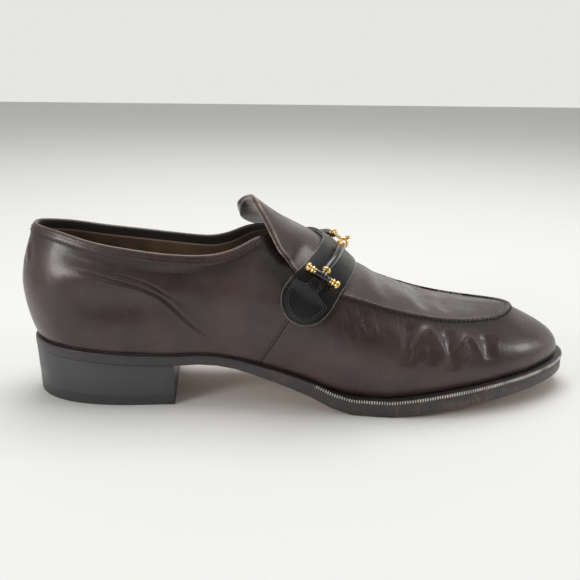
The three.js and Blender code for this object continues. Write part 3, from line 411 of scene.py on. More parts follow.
def between(tree, share, a, b):
    """A mix of two colours or two sockets."""
    mix = node(tree, "ShaderNodeMix", {}, data_type="RGBA")
    for place, value in ((0, share), (6, a), (7, b)):
        feed(tree, mix.inputs[place], value)
    return mix.outputs[2]


def times(tree, a, b):
    """The product of two values or sockets."""
    made = node(tree, "ShaderNodeMath", {}, operation="MULTIPLY")
    feed(tree, made.inputs[0], a)
    feed(tree, made.inputs[1], b)
    return made.outputs[0]


def bumped(tree, shader, layers):
    """Bump from heights in millimetres, one on top of another."""
    before = {}
    for height, depth in layers:
        sockets = {"Height": height, "Strength": 1.0, "Distance": depth * MM, **before}
        before = {"Normal": node(tree, "ShaderNodeBump", sockets).outputs["Normal"]}
    feed_all(tree, shader, **before)


def pores(tree, place, size):
    """The leather's grain: small cells with fine furrows between them."""
    sockets = {"Vector": place, "Scale": 1 / (size * MM)}
    cells = node(tree, "ShaderNodeTexVoronoi", sockets, feature="DISTANCE_TO_EDGE")
    return spanned(tree, cells.outputs["Distance"], 0, 0.12, 0, 1)


BROWN = (0.032, 0.016, 0.0155)
BROWN_WORN = (0.066, 0.038, 0.034)
# The burnish by the seams; the same dark is painted as shade in sharp creases and as the tongue's
# shadow at the gores
BROWN_BURNISHED_AND_SHADE = (0.008, 0.0055, 0.006)
BROWN_SCUFFED = (0.16, 0.13, 0.12)
EDGE_WORN = (0.16, 0.090, 0.062)


def brown_calf(name, edge_gap=None, edge_width=1.0, worn=EDGE_WORN):
    """Polished brown calf: fine grain, cloudy colour, burnished by its seams, worn on its edges, with
    painted shade in sharp creases and the tongue's shadow painted at the gores.
    """
    material, tree, shader, place = new_material(name)
    clouds = pattern(tree, place, 38, 4, 0.6)
    colour = between(tree, spanned(tree, clouds, 0.38, 0.66, 0, 1), BROWN, BROWN_WORN)
    # Painted shade deep in sharp crease troughs
    colour = between(tree, read(tree, "trough", 0.4, 1, 0, 1), colour, BROWN_BURNISHED_AND_SHADE)
    # Dark gores, and the tongue's shadow painted over them
    colour = between(tree, read(tree, "gore_and_shadow", 0.15, 0.8, 0, 0.6), colour, BROWN_BURNISHED_AND_SHADE)
    colour = between(tree, read(tree, "seam_gap", 9, 1.5, 0, 0.6), colour, BROWN_BURNISHED_AND_SHADE)
    if edge_gap == "rim_gap":
        # Darker below the collar's binding
        below = times(tree, read(tree, "rim_gap", 3.5, 6.5), read(tree, "rim_gap", 16, 8))
        colour = between(tree, times(tree, below, clouds), colour, BROWN_BURNISHED_AND_SHADE)
    scuffs = pattern(tree, place, 2.6, 5, 0.7, (1, 1, 2.4))
    scuffed = times(tree, spanned(tree, scuffs, 0.6, 0.74, 0, 0.3), read(tree, "flex", 0.2, 1))
    colour = between(tree, scuffed, colour, BROWN_SCUFFED)
    if edge_gap:
        rubbed = spanned(tree, pattern(tree, place, 5, 5, 0.7), 0.35, 0.62, 0.15, 0.9)
        rubbed = times(tree, rubbed, read(tree, edge_gap, edge_width, edge_width * 0.3))
        colour = between(tree, rubbed, colour, worn)
    rough = spanned(tree, pattern(tree, place, 16, 6, 0.68), 0.32, 0.68, 0.22, 0.46)
    feed_all(tree, shader, Base_Color=colour, Roughness=rough, Coat_Weight=0.25, Coat_Roughness=0.2)
    wrinkle = pattern(tree, place, 1.7, 4, 0.6, (1.0, 0.6, 0.16))
    bumped(tree, shader, [
        (pores(tree, place, 0.62), 0.014),
        (pattern(tree, place, 0.5, 4, 0.6), 0.05),
        (times(tree, wrinkle, read(tree, "flex", 0.1, 0.9)), 0.55),
        (pattern(tree, place, 6, 3, 0.5), 0.16),
    ])
    return material


LINING = (0.20, 0.118, 0.066)
LINING_SOILED = (0.095, 0.062, 0.040)
FACING = (0.022, 0.015, 0.014)
FACING_EDGE = (0.36, 0.30, 0.23)


def lining_leather(name, faced):
    """Matte lining leather, with a dark facing below the rim and a pale line at its edge."""
    material, tree, shader, place = new_material(name)
    clouds = pattern(tree, place, 16, 5, 0.65)
    colour = between(tree, spanned(tree, clouds, 0.3, 0.7, 0, 1), LINING, LINING_SOILED)
    if faced:
        line = times(tree, read(tree, "rim_gap", 5.6, 6.0), read(tree, "rim_gap", 6.9, 6.5))
        colour = between(tree, line, colour, FACING_EDGE)
        colour = between(tree, read(tree, "rim_gap", 5.9, 5.6), colour, FACING)
        colour = between(tree, read(tree, "rim_gap", 1.2, 0.5), colour, EDGE_WORN)
    feed_all(tree, shader, Base_Color=colour, Roughness=0.68, Sheen_Weight=0.15)
    bumped(tree, shader, [
        (pores(tree, place, 0.8), 0.03), (pattern(tree, place, 1.1, 4, 0.6), 0.12),
    ])
    return material


upper.data.materials.append(brown_calf("brown_calf", "rim_gap", 1.5))
upper.data.materials.append(lining_leather("lining_leather", True))
for face in upper.data.polygons:
    face.material_index = 0 if all(skin[v] for v in face.vertices) else 1
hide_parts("upper")
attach(upper, "root")


# Seams and stitches of the upper
# The apron's edge is turned up and sewn to the vamp with a thick waxed thread, which leaves a
# raised lip and a scalloped groove. The collar's binding is held by two rows of small stitches.

def surface(piece):
    """What finds the nearest place on a piece, in millimetres."""
    return BVHTree.FromPolygons(
        [Vector(p) for p in places(piece)], [tuple(face.vertices) for face in piece.data.polygons])


def walks(beside, starts):
    """Lines from neighbour to neighbour, each begun at the first start that none has reached."""
    lines = []
    seen = set()
    for start in starts:
        if start in seen:
            continue
        line = [start]
        seen.add(start)
        while True:
            following = [key for key in beside[line[-1]] if key not in seen]
            if not following:
                break
            line.append(following[0])
            seen.add(following[0])
        lines.append(line)
    return lines


def chain(piece, values, level, wanted):
    """The longest line along which a value of the points has one level, over the wanted ones."""
    mesh = piece.data
    mesh.calc_loop_triangles()
    points = places(piece)
    corners = np.empty(len(mesh.loop_triangles) * 3, dtype=np.int64)
    mesh.loop_triangles.foreach_get("vertices", corners)
    beside = {}
    where = {}
    for triangle in corners.reshape(-1, 3):
        if not wanted[triangle].all():
            continue
        over = values[triangle] > level
        if over.all() or not over.any():
            continue
        ends = []
        for i, j in ((0, 1), (1, 2), (2, 0)):
            if over[i] != over[j]:
                a, b = sorted((int(triangle[i]), int(triangle[j])))
                share = (level - values[a]) / (values[b] - values[a])
                where[(a, b)] = points[a] + (points[b] - points[a]) * share
                ends.append((a, b))
        beside.setdefault(ends[0], []).append(ends[1])
        beside.setdefault(ends[1], []).append(ends[0])
    ends_first = sorted(beside, key=lambda key: len(beside[key]))
    longest = max(walks(beside, ends_first), key=len)
    return [Vector(where[key]) for key in longest]


def evenly(line, step):
    """Points at even steps along a line."""
    lengths = [0.0]
    for a, b in zip(line, line[1:]):
        lengths.append(lengths[-1] + (b - a).length)
    count = max(2, round(lengths[-1] / step))
    found = []
    i = 0
    for k in range(count + 1):
        want = lengths[-1] * k / count
        while i < len(lengths) - 2 and lengths[i + 1] < want:
            i += 1
        share = (want - lengths[i]) / max(1e-9, lengths[i + 1] - lengths[i])
        found.append(line[i].lerp(line[i + 1], min(1, max(0, share))))
    return found


def new_piece(name, points, faces):
    """A smooth piece from points in metres and the faces between them."""
    mesh = bpy.data.meshes.new(name)
    mesh.from_pydata(points, [], faces)
    piece = bpy.data.objects.new(name, mesh)
    bpy.context.scene.collection.objects.link(piece)
    smooth(piece)
    return piece


def seats(line, ground):
    """For each point of a line, its seat on a surface and the ways up and along from there."""
    for i, p in enumerate(line):
        along = line[min(len(line) - 1, i + 1)] - line[max(0, i - 1)]
        seat, up, _, _ = ground.find_nearest(p)
        yield seat, up, along.normalized()


def stitches(name, line, ground, size, turn=0.0, lift=0.0):
    """A row of stitches on a surface. size is a stitch's length, width and height."""
    bpy.ops.object.select_all(action="DESELECT")
    bpy.ops.mesh.primitive_uv_sphere_add(segments=8, ring_count=6, radius=0.5)
    bead = bpy.context.active_object
    shape = [v.co.copy() for v in bead.data.vertices]
    faces = [tuple(face.vertices) for face in bead.data.polygons]
    bpy.data.objects.remove(bead)
    all_points = []
    all_faces = []
    for seat, up, along in seats(line, ground):
        across = up.cross(along).normalized()
        along = across.cross(up)
        way = along * math.cos(turn) + across * math.sin(turn)
        side = up.cross(way)
        base = len(all_points)
        for v in shape:
            # Blunter at its ends than a ball
            along_part = math.copysign(abs(v.x * 2) ** 0.6 / 2, v.x) * size[0]
            q = seat + way * along_part + side * v.y * size[1] + up * (v.z * size[2] + lift)
            all_points.append(q * MM)
        all_faces.extend(tuple(base + k for k in face) for face in faces)
    return new_piece(name, all_points, all_faces)


def ribbon(name, line, ground, profile, wave=None):
    """A strip of one section laid along a line on a surface. Each corner of the section is a
    distance across the line and a height above the surface."""
    all_points = []
    for i, (seat, up, along) in enumerate(seats(line, ground)):
        across = up.cross(along).normalized()
        for k, (sideways, height) in enumerate(profile):
            move, rise = wave(i, k) if wave else (0, 0)
            all_points.append((seat + across * (sideways + move) + up * (height + rise)) * MM)
    width = len(profile)
    all_faces = []
    last = (len(line) - 1) * width
    for base in range(0, last, width):
        for k in range(width):
            m = (k + 1) % width
            all_faces.append((base + k, base + m, base + width + m, base + width + k))
    all_faces.append(tuple(range(width)))
    all_faces.append(tuple(last + k for k in range(width))[::-1])
    piece = new_piece(name, all_points, all_faces)
    bpy.ops.object.mode_set(mode="EDIT")
    bpy.ops.mesh.select_all(action="SELECT")
    bpy.ops.mesh.normals_make_consistent(inside=False)
    bpy.ops.object.mode_set(mode="OBJECT")
    return piece


def thread(name, colour, rough=0.6):
    """Waxed linen thread with its twist."""
    material, tree, shader, place = new_material(name)
    twist = pattern(tree, place, 0.35, 2, 0.5, (1, 1, 3))
    tone = between(tree, twist, tuple(c * 0.5 for c in colour), colour)
    feed_all(tree, shader, Base_Color=tone, Roughness=rough)
    bumped(tree, shader, [(twist, 0.05)])
    return material


def plain_calf(piece, seam_gap):
    """Stores what the calf's finish reads, for a piece with no crease, no gore and no painted shade."""
    count = len(piece.data.vertices)
    for name in ("trough", "gore_and_shadow", "flex"):
        store(piece, name, np.zeros(count))
    store(piece, "seam_gap", np.broadcast_to(seam_gap, count))


def belongs(piece, material):
    """Gives a small piece its finish and seats it on the shoe."""
    piece.data.materials.append(material)
    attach(piece, "root")


upper_ground = surface(upper)
upper_rim_gap = distance(places(upper), rim_segments)
# Dark thread, and also the colour of dark strips painted as shade: in the apron's groove, below the
# binding and beside the vamp's lapped edge
dark_thread_and_shade = thread("dark_thread_and_shade", (0.012, 0.010, 0.010))
binding_thread = thread("binding_thread", (0.085, 0.058, 0.052))

# The seam's stitches are one scallop apart. The groove lies on the vamp's side of the lip.
SCALLOP = 2.9
LIP_STEP = 0.58
SCALLOP_STEPS = SCALLOP / LIP_STEP
GROOVE_AT = 1.3
APRON_STITCH = (2.3, 1.05, 0.9)
lip_line = evenly(through(apron_seam, step=3)[::-1], LIP_STEP)
lip_profile = [
    (-1.6, -0.4), (-1.1, 0.05), (-0.5, 0.34), (0.0, 0.55), (0.45, 0.5), (0.8, 0.0), (0.9, -0.6),
]


def scalloped(i, k):
    """The lip's vamp side is drawn in at each stitch."""
    pull = 0.5 - 0.5 * math.cos(2 * math.pi * i / SCALLOP_STEPS)
    return (0.35 * pull, -0.12 * (1 - pull)) if k in (4, 5) else (0, 0)


lip = ribbon("apron_lip", lip_line, upper_ground, lip_profile, wave=scalloped)
# Its vamp side is burnished as by a seam, and its crest is worn
lip_column = np.arange(len(lip.data.vertices)) % len(lip_profile)
plain_calf(lip, np.where(lip_column >= 4, 1.5, 9.0))
store(lip, "lip_edge", np.where(lip_column == 3, 0.5, 2.0))
belongs(lip, brown_calf("lip_calf", "lip_edge", 1.2))

ahead = [b - a for a, b in zip(lip_line, lip_line[1:] + [lip_line[-1] * 2 - lip_line[-2]])]
groove_line = []
for p, along in zip(lip_line, ahead):
    seat, up, _, _ = upper_ground.find_nearest(p)
    groove_line.append(seat + up.cross(along.normalized()).normalized() * GROOVE_AT)
groove_profile = [(-0.65, -0.2), (-0.5, 0.08), (0.5, 0.08), (0.7, -0.2)]
# A dark strip on the vamp, painted shade of the seam's groove, under the seam's dark stitches
seam_groove = ribbon("apron_groove", groove_line, upper_ground, groove_profile)
belongs(seam_groove, dark_thread_and_shade)
seam_stitches = stitches(
    "apron_stitches", evenly(groove_line, SCALLOP), upper_ground, APRON_STITCH,
    turn=math.radians(50), lift=0.1)
belongs(seam_stitches, dark_thread_and_shade)

# The collar's binding: its stitch rows and a dark strip painted as the shadow at its lower edge, by
# distance from the rim
BINDING_ROWS = {"binding_stitches_high": 2.9, "binding_stitches_low": 4.6}
BINDING_EDGE = 5.6
BINDING_STITCH = (1.45, 0.55, 0.6)
BINDING_PITCH = 2.05
BINDING_STEP = 1.5
outer_skin = (normals(upper) * outward(places(upper))).sum(1) > 0.05
for name, gap in BINDING_ROWS.items():
    row = evenly(chain(upper, upper_rim_gap, gap, outer_skin), BINDING_PITCH)
    row_stitches = stitches(name, row, upper_ground, BINDING_STITCH, lift=0.08)
    belongs(row_stitches, binding_thread)
binding_row = evenly(chain(upper, upper_rim_gap, BINDING_EDGE, outer_skin), BINDING_STEP)
binding_profile = [(-0.25, -0.15), (-0.15, 0.06), (0.15, 0.06), (0.25, -0.15)]
binding = ribbon("binding_shadow", binding_row, upper_ground, binding_profile)
belongs(binding, dark_thread_and_shade)

# The vamp laps over the quarter along a slanting edge, and just ahead of that edge lies a dark strip, a
# painted shadow
side_seam = [
    (98.2, -43, 51.5), (94.3, -41.8, 44.7), (90.9, -40.1, 38.2), (86.9, -37.9, 31.4),
    (82.9, -35.6, 24.6),
]
SHADOW_AHEAD = 0.5
edge_profile = [(-1.4, -0.15), (-0.3, 0.38), (0.1, 0.32), (0.25, -0.15)]
quarter_edge = ribbon("quarter_edge", through(side_seam), upper_ground, edge_profile)
plain_calf(quarter_edge, 9.0)
belongs(quarter_edge, brown_calf("quarter_calf"))
# A dark strip, a painted shadow, just ahead of the lapped edge
shadow_line = through([(x + SHADOW_AHEAD, y, z) for x, y, z in side_seam])
shadow_profile = [(-0.3, -0.1), (-0.2, 0.05), (0.2, 0.05), (0.3, -0.1)]
seam_shadow = ribbon("quarter_shadow", shadow_line, upper_ground, shadow_profile)
belongs(seam_shadow, dark_thread_and_shade)


# Insole
# A leather sock over a thin filler, glued in, and pressed by the foot at the heel and the ball.

def bevelled(piece, width, corner):
    """Rounds every edge that turns by more than an angle."""
    finish_with(
        piece, "BEVEL", width=width * MM, segments=2, limit_method="ANGLE",
        angle_limit=math.radians(corner))


insole = copy_of("insole", "insole_sock")
bevelled(insole, 0.6, 40)
finish_with(insole, "SUBSURF", levels=1, render_levels=1)
smooth(insole)
insole.data.materials.append(lining_leather("sock_leather", False))
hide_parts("insole")
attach(insole, "root")


# Welt
# A leather strip sewn between upper and sole. Its top edge was run over with a hot toothed wheel, which
# left a row of small bars, pale on top partly from wear and partly from a painted highlight.

# The scuffs set in over this stretch of the length, in metres
SCUFFED_FROM = (0.06, 0.11)


def waxed_leather(name, colour, worn, amount):
    """Waxed edge leather, with patches in front of the waist scuffed down to bare leather."""
    material, tree, shader, place = new_material(name)
    patches = spanned(tree, pattern(tree, place, 14, 6, 0.72), 0.53, 0.62, 0, 1)
    fine = pattern(tree, place, 2.2, 5, 0.7)
    scuffs = times(tree, patches, spanned(tree, fine, 0.44, 0.6, 0, 1))
    parts = node(tree, "ShaderNodeSeparateXYZ", {"Vector": place})
    scuffs = times(tree, scuffs, spanned(tree, parts.outputs["X"], *SCUFFED_FROM, 0, 1))
    tone = between(tree, pattern(tree, place, 5, 4, 0.6), colour, tuple(c * 1.9 for c in colour))
    tone = between(tree, times(tree, scuffs, amount), tone, worn)
    rough = spanned(tree, fine, 0.3, 0.7, 0.34, 0.62)
    feed_all(tree, shader, Base_Color=tone, Roughness=rough, Coat_Weight=0.12)
    bumped(tree, shader, [(pattern(tree, place, 0.8, 4, 0.6), 0.07), (fine, 0.12)])
    return material


def rings_of(pairs):
    """Closed lines through pairs of points."""
    beside = {}
    for a, b in pairs:
        beside.setdefault(tuple(a.round(3)), []).append(tuple(b.round(3)))
        beside.setdefault(tuple(b.round(3)), []).append(tuple(a.round(3)))
    return [[Vector(p) for p in line + line[:1]] for line in walks(beside, sorted(beside))]


CORNER = math.radians(40)


def rounded(piece, width, wanted):
    """Rounds the corners that a test of their faces picks, and leaves the others sharp."""
    focus(piece)
    bpy.ops.object.mode_set(mode="EDIT")
    bpy.ops.mesh.select_mode(type="EDGE")
    bpy.ops.mesh.select_all(action="DESELECT")
    net = bmesh.from_edit_mesh(piece.data)
    for line in net.edges:
        corner = len(line.link_faces) == 2 and line.calc_face_angle() > CORNER
        line.select_set(corner and wanted([face.normal for face in line.link_faces]))
    bmesh.update_edit_mesh(piece.data)
    bpy.ops.mesh.bevel(offset=width * MM, segments=2, affect="EDGES")
    bpy.ops.object.mode_set(mode="OBJECT")
    bpy.ops.object.shade_smooth_by_angle(angle=CORNER)


def faces_up(ways):
    """One of a corner's faces looks up."""
    return max(way.z for way in ways) > 0.7


def faces_down(ways):
    """One of a corner's faces looks down."""
    return min(way.z for way in ways) < -0.7


welt = copy_of("welt", "welt_strip")
# The outer top ring of its corners is the higher of the two widest
welt_rings = rings_of(edges_of(welt, 60))
widest = sorted(welt_rings, key=lambda ring: -max(p.x for p in ring))[:2]
outer_ring = max(widest, key=lambda ring: sum(p.z for p in ring) / len(ring))

# Ground flush with the sole's edge, and pressed down on it
WELT_OUT = 0.42
WELT_DOWN = 0.28
points = places(welt)
low = normals(welt)[:, 2] < -0.3
level_out = outward(points, -10, 215, -3.0, points[:, 2])
outer_side = (normals(welt) * level_out).sum(1) > 0.3
points = points + level_out * (WELT_OUT * outer_side)[:, None]
move_to(welt, points - np.array([0, 0, WELT_DOWN]) * low[:, None])
rounded(welt, 0.5, faces_up)
sole_edge = waxed_leather("sole_edge", (0.030, 0.027, 0.028), (0.19, 0.098, 0.064), 0.8)
welt.data.materials.append(sole_edge)
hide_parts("welt")
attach(welt, "root")

# The wheel's bars, from the waist round the toe to the inner waist
WHEEL_FROM = 112
WHEEL_PITCH = 1.3
WHEEL_DROP = 0.6
WHEEL_BAR = (0.6, 2.0, 0.8)
WHEEL_MIDDLE = Vector((180, -4, 0))
wheel_line = [p - Vector((0, 0, WHEEL_DROP)) for p in evenly(outer_ring, WHEEL_PITCH)]
wheel_line = [p for p in wheel_line if p.x > WHEEL_FROM]
wheel_line.sort(key=lambda p: math.atan2(p.y - WHEEL_MIDDLE.y, p.x - WHEEL_MIDDLE.x))
wheel_bars = stitches("welt_wheeling", wheel_line, surface(welt), WHEEL_BAR, lift=0.1)
wheel_wax, tree, shader, place = new_material("wheel_wax")
# Pale, near-white tops: partly wear, partly a painted highlight
worn = spanned(tree, pattern(tree, place, 9, 5, 0.7), 0.3, 0.55, 0.1, 1)
colour = between(tree, worn, (0.10, 0.085, 0.08), (0.80, 0.72, 0.65))
feed_all(tree, shader, Base_Color=colour, Roughness=0.5)
bumped(tree, shader, [(pattern(tree, place, 0.4, 3, 0.6), 0.05)])
belongs(wheel_bars, wheel_wax)


# Outsole
# Oak-bark leather, cut close to the welt. The edge is inked and waxed, and the underside is left
# in its own tan, scratched where it has met the ground.

def sole_tan(name):
    """Undyed sole leather with dark scratches along its length."""
    material, tree, shader, place = new_material(name)
    clouds = pattern(tree, place, 20, 5, 0.65)
    colour = between(tree, clouds, (0.30, 0.17, 0.085), (0.42, 0.27, 0.15))
    scratch = spanned(tree, pattern(tree, place, 4, 6, 0.75, (0.35, 1, 1)), 0.5, 0.68, 0, 0.7)
    worn = between(tree, scratch, colour, (0.10, 0.07, 0.05))
    feed_all(tree, shader, Base_Color=worn, Roughness=0.6)
    bumped(tree, shader, [
        (pattern(tree, place, 0.9, 4, 0.6), 0.08),
        (pattern(tree, place, 3, 5, 0.7, (0.3, 1, 1)), 0.15),
    ])
    return material


outsole = copy_of("outsole", "outsole_leather")
rounded(outsole, 0.6, faces_down)
outsole.data.materials.append(sole_edge)
outsole.data.materials.append(sole_tan("sole_tan"))
for face in outsole.data.polygons:
    face.material_index = 1 if face.normal.z < -0.8 else 0
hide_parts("outsole")
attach(outsole, "root")


# Heel
# A block of leather lifts, glued and nailed together under the sole, ground smooth and waxed near
# black. A rubber top piece is nailed under it.

def heel_wax(name, colour, rough):
    """Waxed black, a little uneven from lift to lift, with small pale knocks."""
    material, tree, shader, place = new_material(name)
    lifts = pattern(tree, place, 3.4, 2, 0.4, (0.05, 0.05, 1))
    tone = between(tree, lifts, colour, tuple(c * 1.5 for c in colour))
    marks = spanned(tree, pattern(tree, place, 3, 6, 0.75), 0.62, 0.7, 0, 0.3)
    tone = between(tree, marks, tone, (0.12, 0.11, 0.11))
    clouds = pattern(tree, place, 8, 4, 0.6)
    polish = spanned(tree, clouds, 0.3, 0.7, rough - 0.08, rough + 0.1)
    feed_all(tree, shader, Base_Color=tone, Roughness=polish, Coat_Weight=0.1)
    bumped(tree, shader, [(pattern(tree, place, 0.6, 4, 0.6), 0.04), (lifts, 0.05)])
    return material


def upright(ways):
    """None of a corner's faces looks up or down."""
    return max(abs(way.z) for way in ways) < 0.7


def drawn_up(piece, amount, middle):
    """Moves up what lies over a piece's middle, against the piece above."""
    points = places(piece)
    move_to(piece, points + np.array([0, 0, amount]) * (points[:, 2] > middle)[:, None])


heel = copy_of("heel_stack", "heel_block")
rounded(heel, 0.35, lambda ways: upright(ways) or faces_up(ways))
drawn_up(heel, 0.26, 18)
heel.data.materials.append(heel_wax("heel_wax", (0.044, 0.043, 0.047), 0.4))
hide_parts("heel_stack")
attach(heel, "root")

lift = copy_of("heel_lift", "heel_top_piece")
rounded(lift, 0.35, lambda ways: upright(ways) or faces_down(ways))
drawn_up(lift, 0.28, 3)
lift.data.materials.append(heel_wax("heel_rubber", (0.038, 0.037, 0.040), 0.48))
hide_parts("heel_lift")
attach(lift, "root")


# Tongue
# A stiff flap of two layers of calf, held under the strap and free above it. It has curled up and
# leans to the inner side, and its cut edge shows both layers.

def strip_copy(solid, name, bevel):
    """A leather strip with its cut edges rounded, and each point's distance from them."""
    piece = copy_of(solid, name)
    cut = edges_of(piece, 50)
    bevelled(piece, bevel, 50)
    finish_with(piece, "SUBSURF", levels=2, render_levels=2)
    smooth(piece)
    gap = distance(places(piece), cut)
    store(piece, "cut_gap", gap)
    plain_calf(piece, 20.0)
    return piece, gap


FLAP_SWELL_SIZE = 14
FLAP_SWELL_HEIGHT = 0.2
tongue, _ = strip_copy("tongue", "tongue_flap", 0.4)
points = places(tongue)
swell = FLAP_SWELL_HEIGHT * unevenness(points, FLAP_SWELL_SIZE)
move_to(tongue, points + normals(tongue) * swell[:, None])
tongue.data.materials.append(brown_calf("tongue_calf", "cut_gap", 1.0, (0.42, 0.31, 0.23)))
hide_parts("tongue")
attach(tongue, "root")


# Strap and keepers
# Black calf over the instep, its ends cut to round tabs. Each tab has a second layer, sewn on
# round its edge, whose neck is drawn up to a crossbar of the bit.

BLACK = (0.0050, 0.0050, 0.0056)
BLACK_WORN = (0.009, 0.009, 0.010)
BLACK_RUBBED = (0.05, 0.047, 0.045)
BLACK_EDGE = (0.26, 0.22, 0.20)


def black_calf(name, edge_share):
    """Black calf with a soft polish, rubbed in places, its cut edge worn by a given share."""
    material, tree, shader, place = new_material(name)
    clouds = pattern(tree, place, 12, 5, 0.6)
    colour = between(tree, clouds, BLACK, BLACK_WORN)
    rubs = pattern(tree, place, 3.0, 5, 0.7)
    colour = between(tree, spanned(tree, rubs, 0.6, 0.72, 0, 0.4), colour, BLACK_RUBBED)
    edge = times(tree, read(tree, "cut_gap", 0.6, 0.2), spanned(tree, rubs, 0.3, 0.5, 0.4, 1))
    edge = times(tree, edge, edge_share)
    colour = between(tree, edge, colour, BLACK_EDGE)
    rough = spanned(tree, clouds, 0.3, 0.7, 0.22, 0.42)
    feed_all(tree, shader, Base_Color=colour, Roughness=rough, Specular_IOR_Level=0.32)
    feed_all(tree, shader, Coat_Weight=0.12, Coat_Roughness=0.12)
    bumped(tree, shader, [
        (pores(tree, place, 0.55), 0.016), (pattern(tree, place, 0.5, 4, 0.6), 0.05),
        (pattern(tree, place, 4, 3, 0.5), 0.12),
    ])
    return material


strap, _ = strip_copy("strap", "strap_leather", 0.35)
strap.data.materials.append(black_calf("strap_calf", 0.85))
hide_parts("strap")
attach(strap, "root")

# A row of stitches runs round each keeper, on the outer one only up to its neck
KEEPER_SEAM = 1.5
KEEPER_PITCH = 1.9
KEEPER_STITCH = (1.4, 0.6, 0.6)
STITCHED_TO = {"outer": 71, "inner": 90}
keeper_calf = black_calf("keeper_calf", 0.16)
keeper_thread = thread("keeper_thread", (0.05, 0.048, 0.046), 0.45)
for side in ("outer", "inner"):
    keeper, gap = strip_copy("keeper_" + side, "keeper_%s_leather" % side, 0.25)
    keeper.data.materials.append(keeper_calf)
    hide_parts("keeper_" + side)
    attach(keeper, "root")
    on_top = (normals(keeper) * outward(places(keeper))).sum(1) > 0.3
    row = evenly(chain(keeper, gap, KEEPER_SEAM, on_top), KEEPER_PITCH)
    row = [p for p in row if p.z < STITCHED_TO[side]]
    row_stitches = stitches(
        "keeper_%s_stitches" % side, row, surface(keeper), KEEPER_STITCH, lift=0.08)
    belongs(row_stitches, keeper_thread)


# Bit
# Cast brass, gilt. Two bent half bars rise over the strap from a crossbar at each side, enamelled
# black between turned knobs, hubs and collars, and a thin link with a ring and a bead joins them.

# A half bar's line starts in the middle of its crossbar, which lies along "across"
bars = [
    {"across": (0.836, -0.067, -0.545), "path": [
        (113.97, -44.4, 73.8), (116.44, -41.28, 76.27), (118.7, -37.91, 78.08),
        (121.17, -33.67, 79.58), (123.07, -29.43, 80.71), (124.66, -25.16, 81.53),
        (126.86, -17.63, 82.35)]},
    {"across": (0.798, -0.024, -0.602), "path": [
        (113.74, 42.84, 71.49), (116.33, 40.17, 74.44), (118.6, 37.06, 76.77),
        (121.11, 32.74, 79.07), (123.21, 28.38, 80.41), (124.9, 24.01, 81.41),
        (127.15, 16.31, 82.36)]},
]
link_path = [
    (126.86, -17.63, 82.35), (127.6, -14.41, 82.51), (128.24, -11.2, 82.57), (128.94, -6.94, 82.54),
    (129.4, -2.73, 82.45), (129.47, 1.39, 82.42), (129.13, 5.53, 82.5), (128.5, 9.79, 82.55),
    (127.88, 13.04, 82.51), (127.15, 16.31, 82.36),
]
RING_AT = (128.04, -12.27, 82.56)
RING_OUT = (0.612, -0.131, 0.78)
RING_RADIUS = 2.3
RING_WIRE = 0.75
RING_RISE = 0.9
BEAD_RISE = 3.6
CROSSBAR_HALF = 6.7
CROSSBAR_RADIUS = 1.55
HALF_BAR_RADIUS = 1.85
LINK_RADIUS = 0.95
ROD_STEP = 1.2
TURNED_SIDES = 24
BEAD_STEPS = 8
POINTED = 1e-4


def turned(name, start, along, profile):
    """A turned piece: a profile of distances along an axis and radii, spun round it."""
    along = Vector(along).normalized()
    bpy.ops.object.select_all(action="DESELECT")
    bpy.ops.mesh.primitive_circle_add(
        vertices=TURNED_SIDES, radius=max(profile[0][1], POINTED), fill_type="NGON")
    piece = bpy.context.active_object
    piece.name = name
    bpy.ops.object.mode_set(mode="EDIT")
    bpy.ops.mesh.select_all(action="SELECT")
    for (here, radius), (there, following) in zip(profile, profile[1:]):
        bpy.ops.mesh.extrude_region_move(TRANSFORM_OT_translate={"value": (0, 0, there - here)})
        scale = max(following, POINTED) / max(radius, POINTED)
        bpy.ops.transform.resize(value=(scale, scale, 1), center_override=(0, 0, there))
    bpy.ops.mesh.select_all(action="SELECT")
    bpy.ops.mesh.normals_make_consistent(inside=False)
    bpy.ops.object.mode_set(mode="OBJECT")
    turn = Vector((0, 0, 1)).rotation_difference(along).to_matrix().to_4x4()
    move = Matrix.Translation(Vector(start)) @ turn
    piece.data.transform(Matrix.Scale(MM, 4) @ move @ Matrix.Translation((0, 0, profile[0][0])))
    piece.matrix_world = Matrix.Identity(4)
    smooth(piece)
    return piece


def joined(name, pieces):
    """Several meshes made one piece."""
    focus(pieces[0])
    for piece in pieces:
        piece.select_set(True)
    bpy.ops.object.join()
    whole = bpy.context.active_object
    whole.name = name
    return whole


def waisted(*beads):
    """A profile of round beads, each a start, a radius, a length and the waist at its ends."""
    profile = []
    for start, radius, length, waist in beads:
        for k in range(BEAD_STEPS + 1):
            turn = math.pi * k / BEAD_STEPS
            here = start + length * (0.5 - 0.5 * math.cos(turn))
            profile.append((here, max(radius * math.sin(turn), waist)))
    return profile


def bent(name, rows, radius):
    """A rod along a line, from a curve."""
    curve = bpy.data.curves.new(name, "CURVE")
    curve.dimensions = "3D"
    line = through(rows, ROD_STEP)
    spline = curve.splines.new("POLY")
    spline.points.add(len(line) - 1)
    for point, p in zip(spline.points, line):
        point.co = (*(p * MM), 1)
    curve.bevel_depth = radius * MM
    curve.bevel_resolution = 5
    curve.use_fill_caps = True
    piece = bpy.data.objects.new(name, curve)
    bpy.context.scene.collection.objects.link(piece)
    focus(piece)
    bpy.ops.object.convert(target="MESH")
    piece = bpy.context.active_object
    smooth(piece)
    return piece


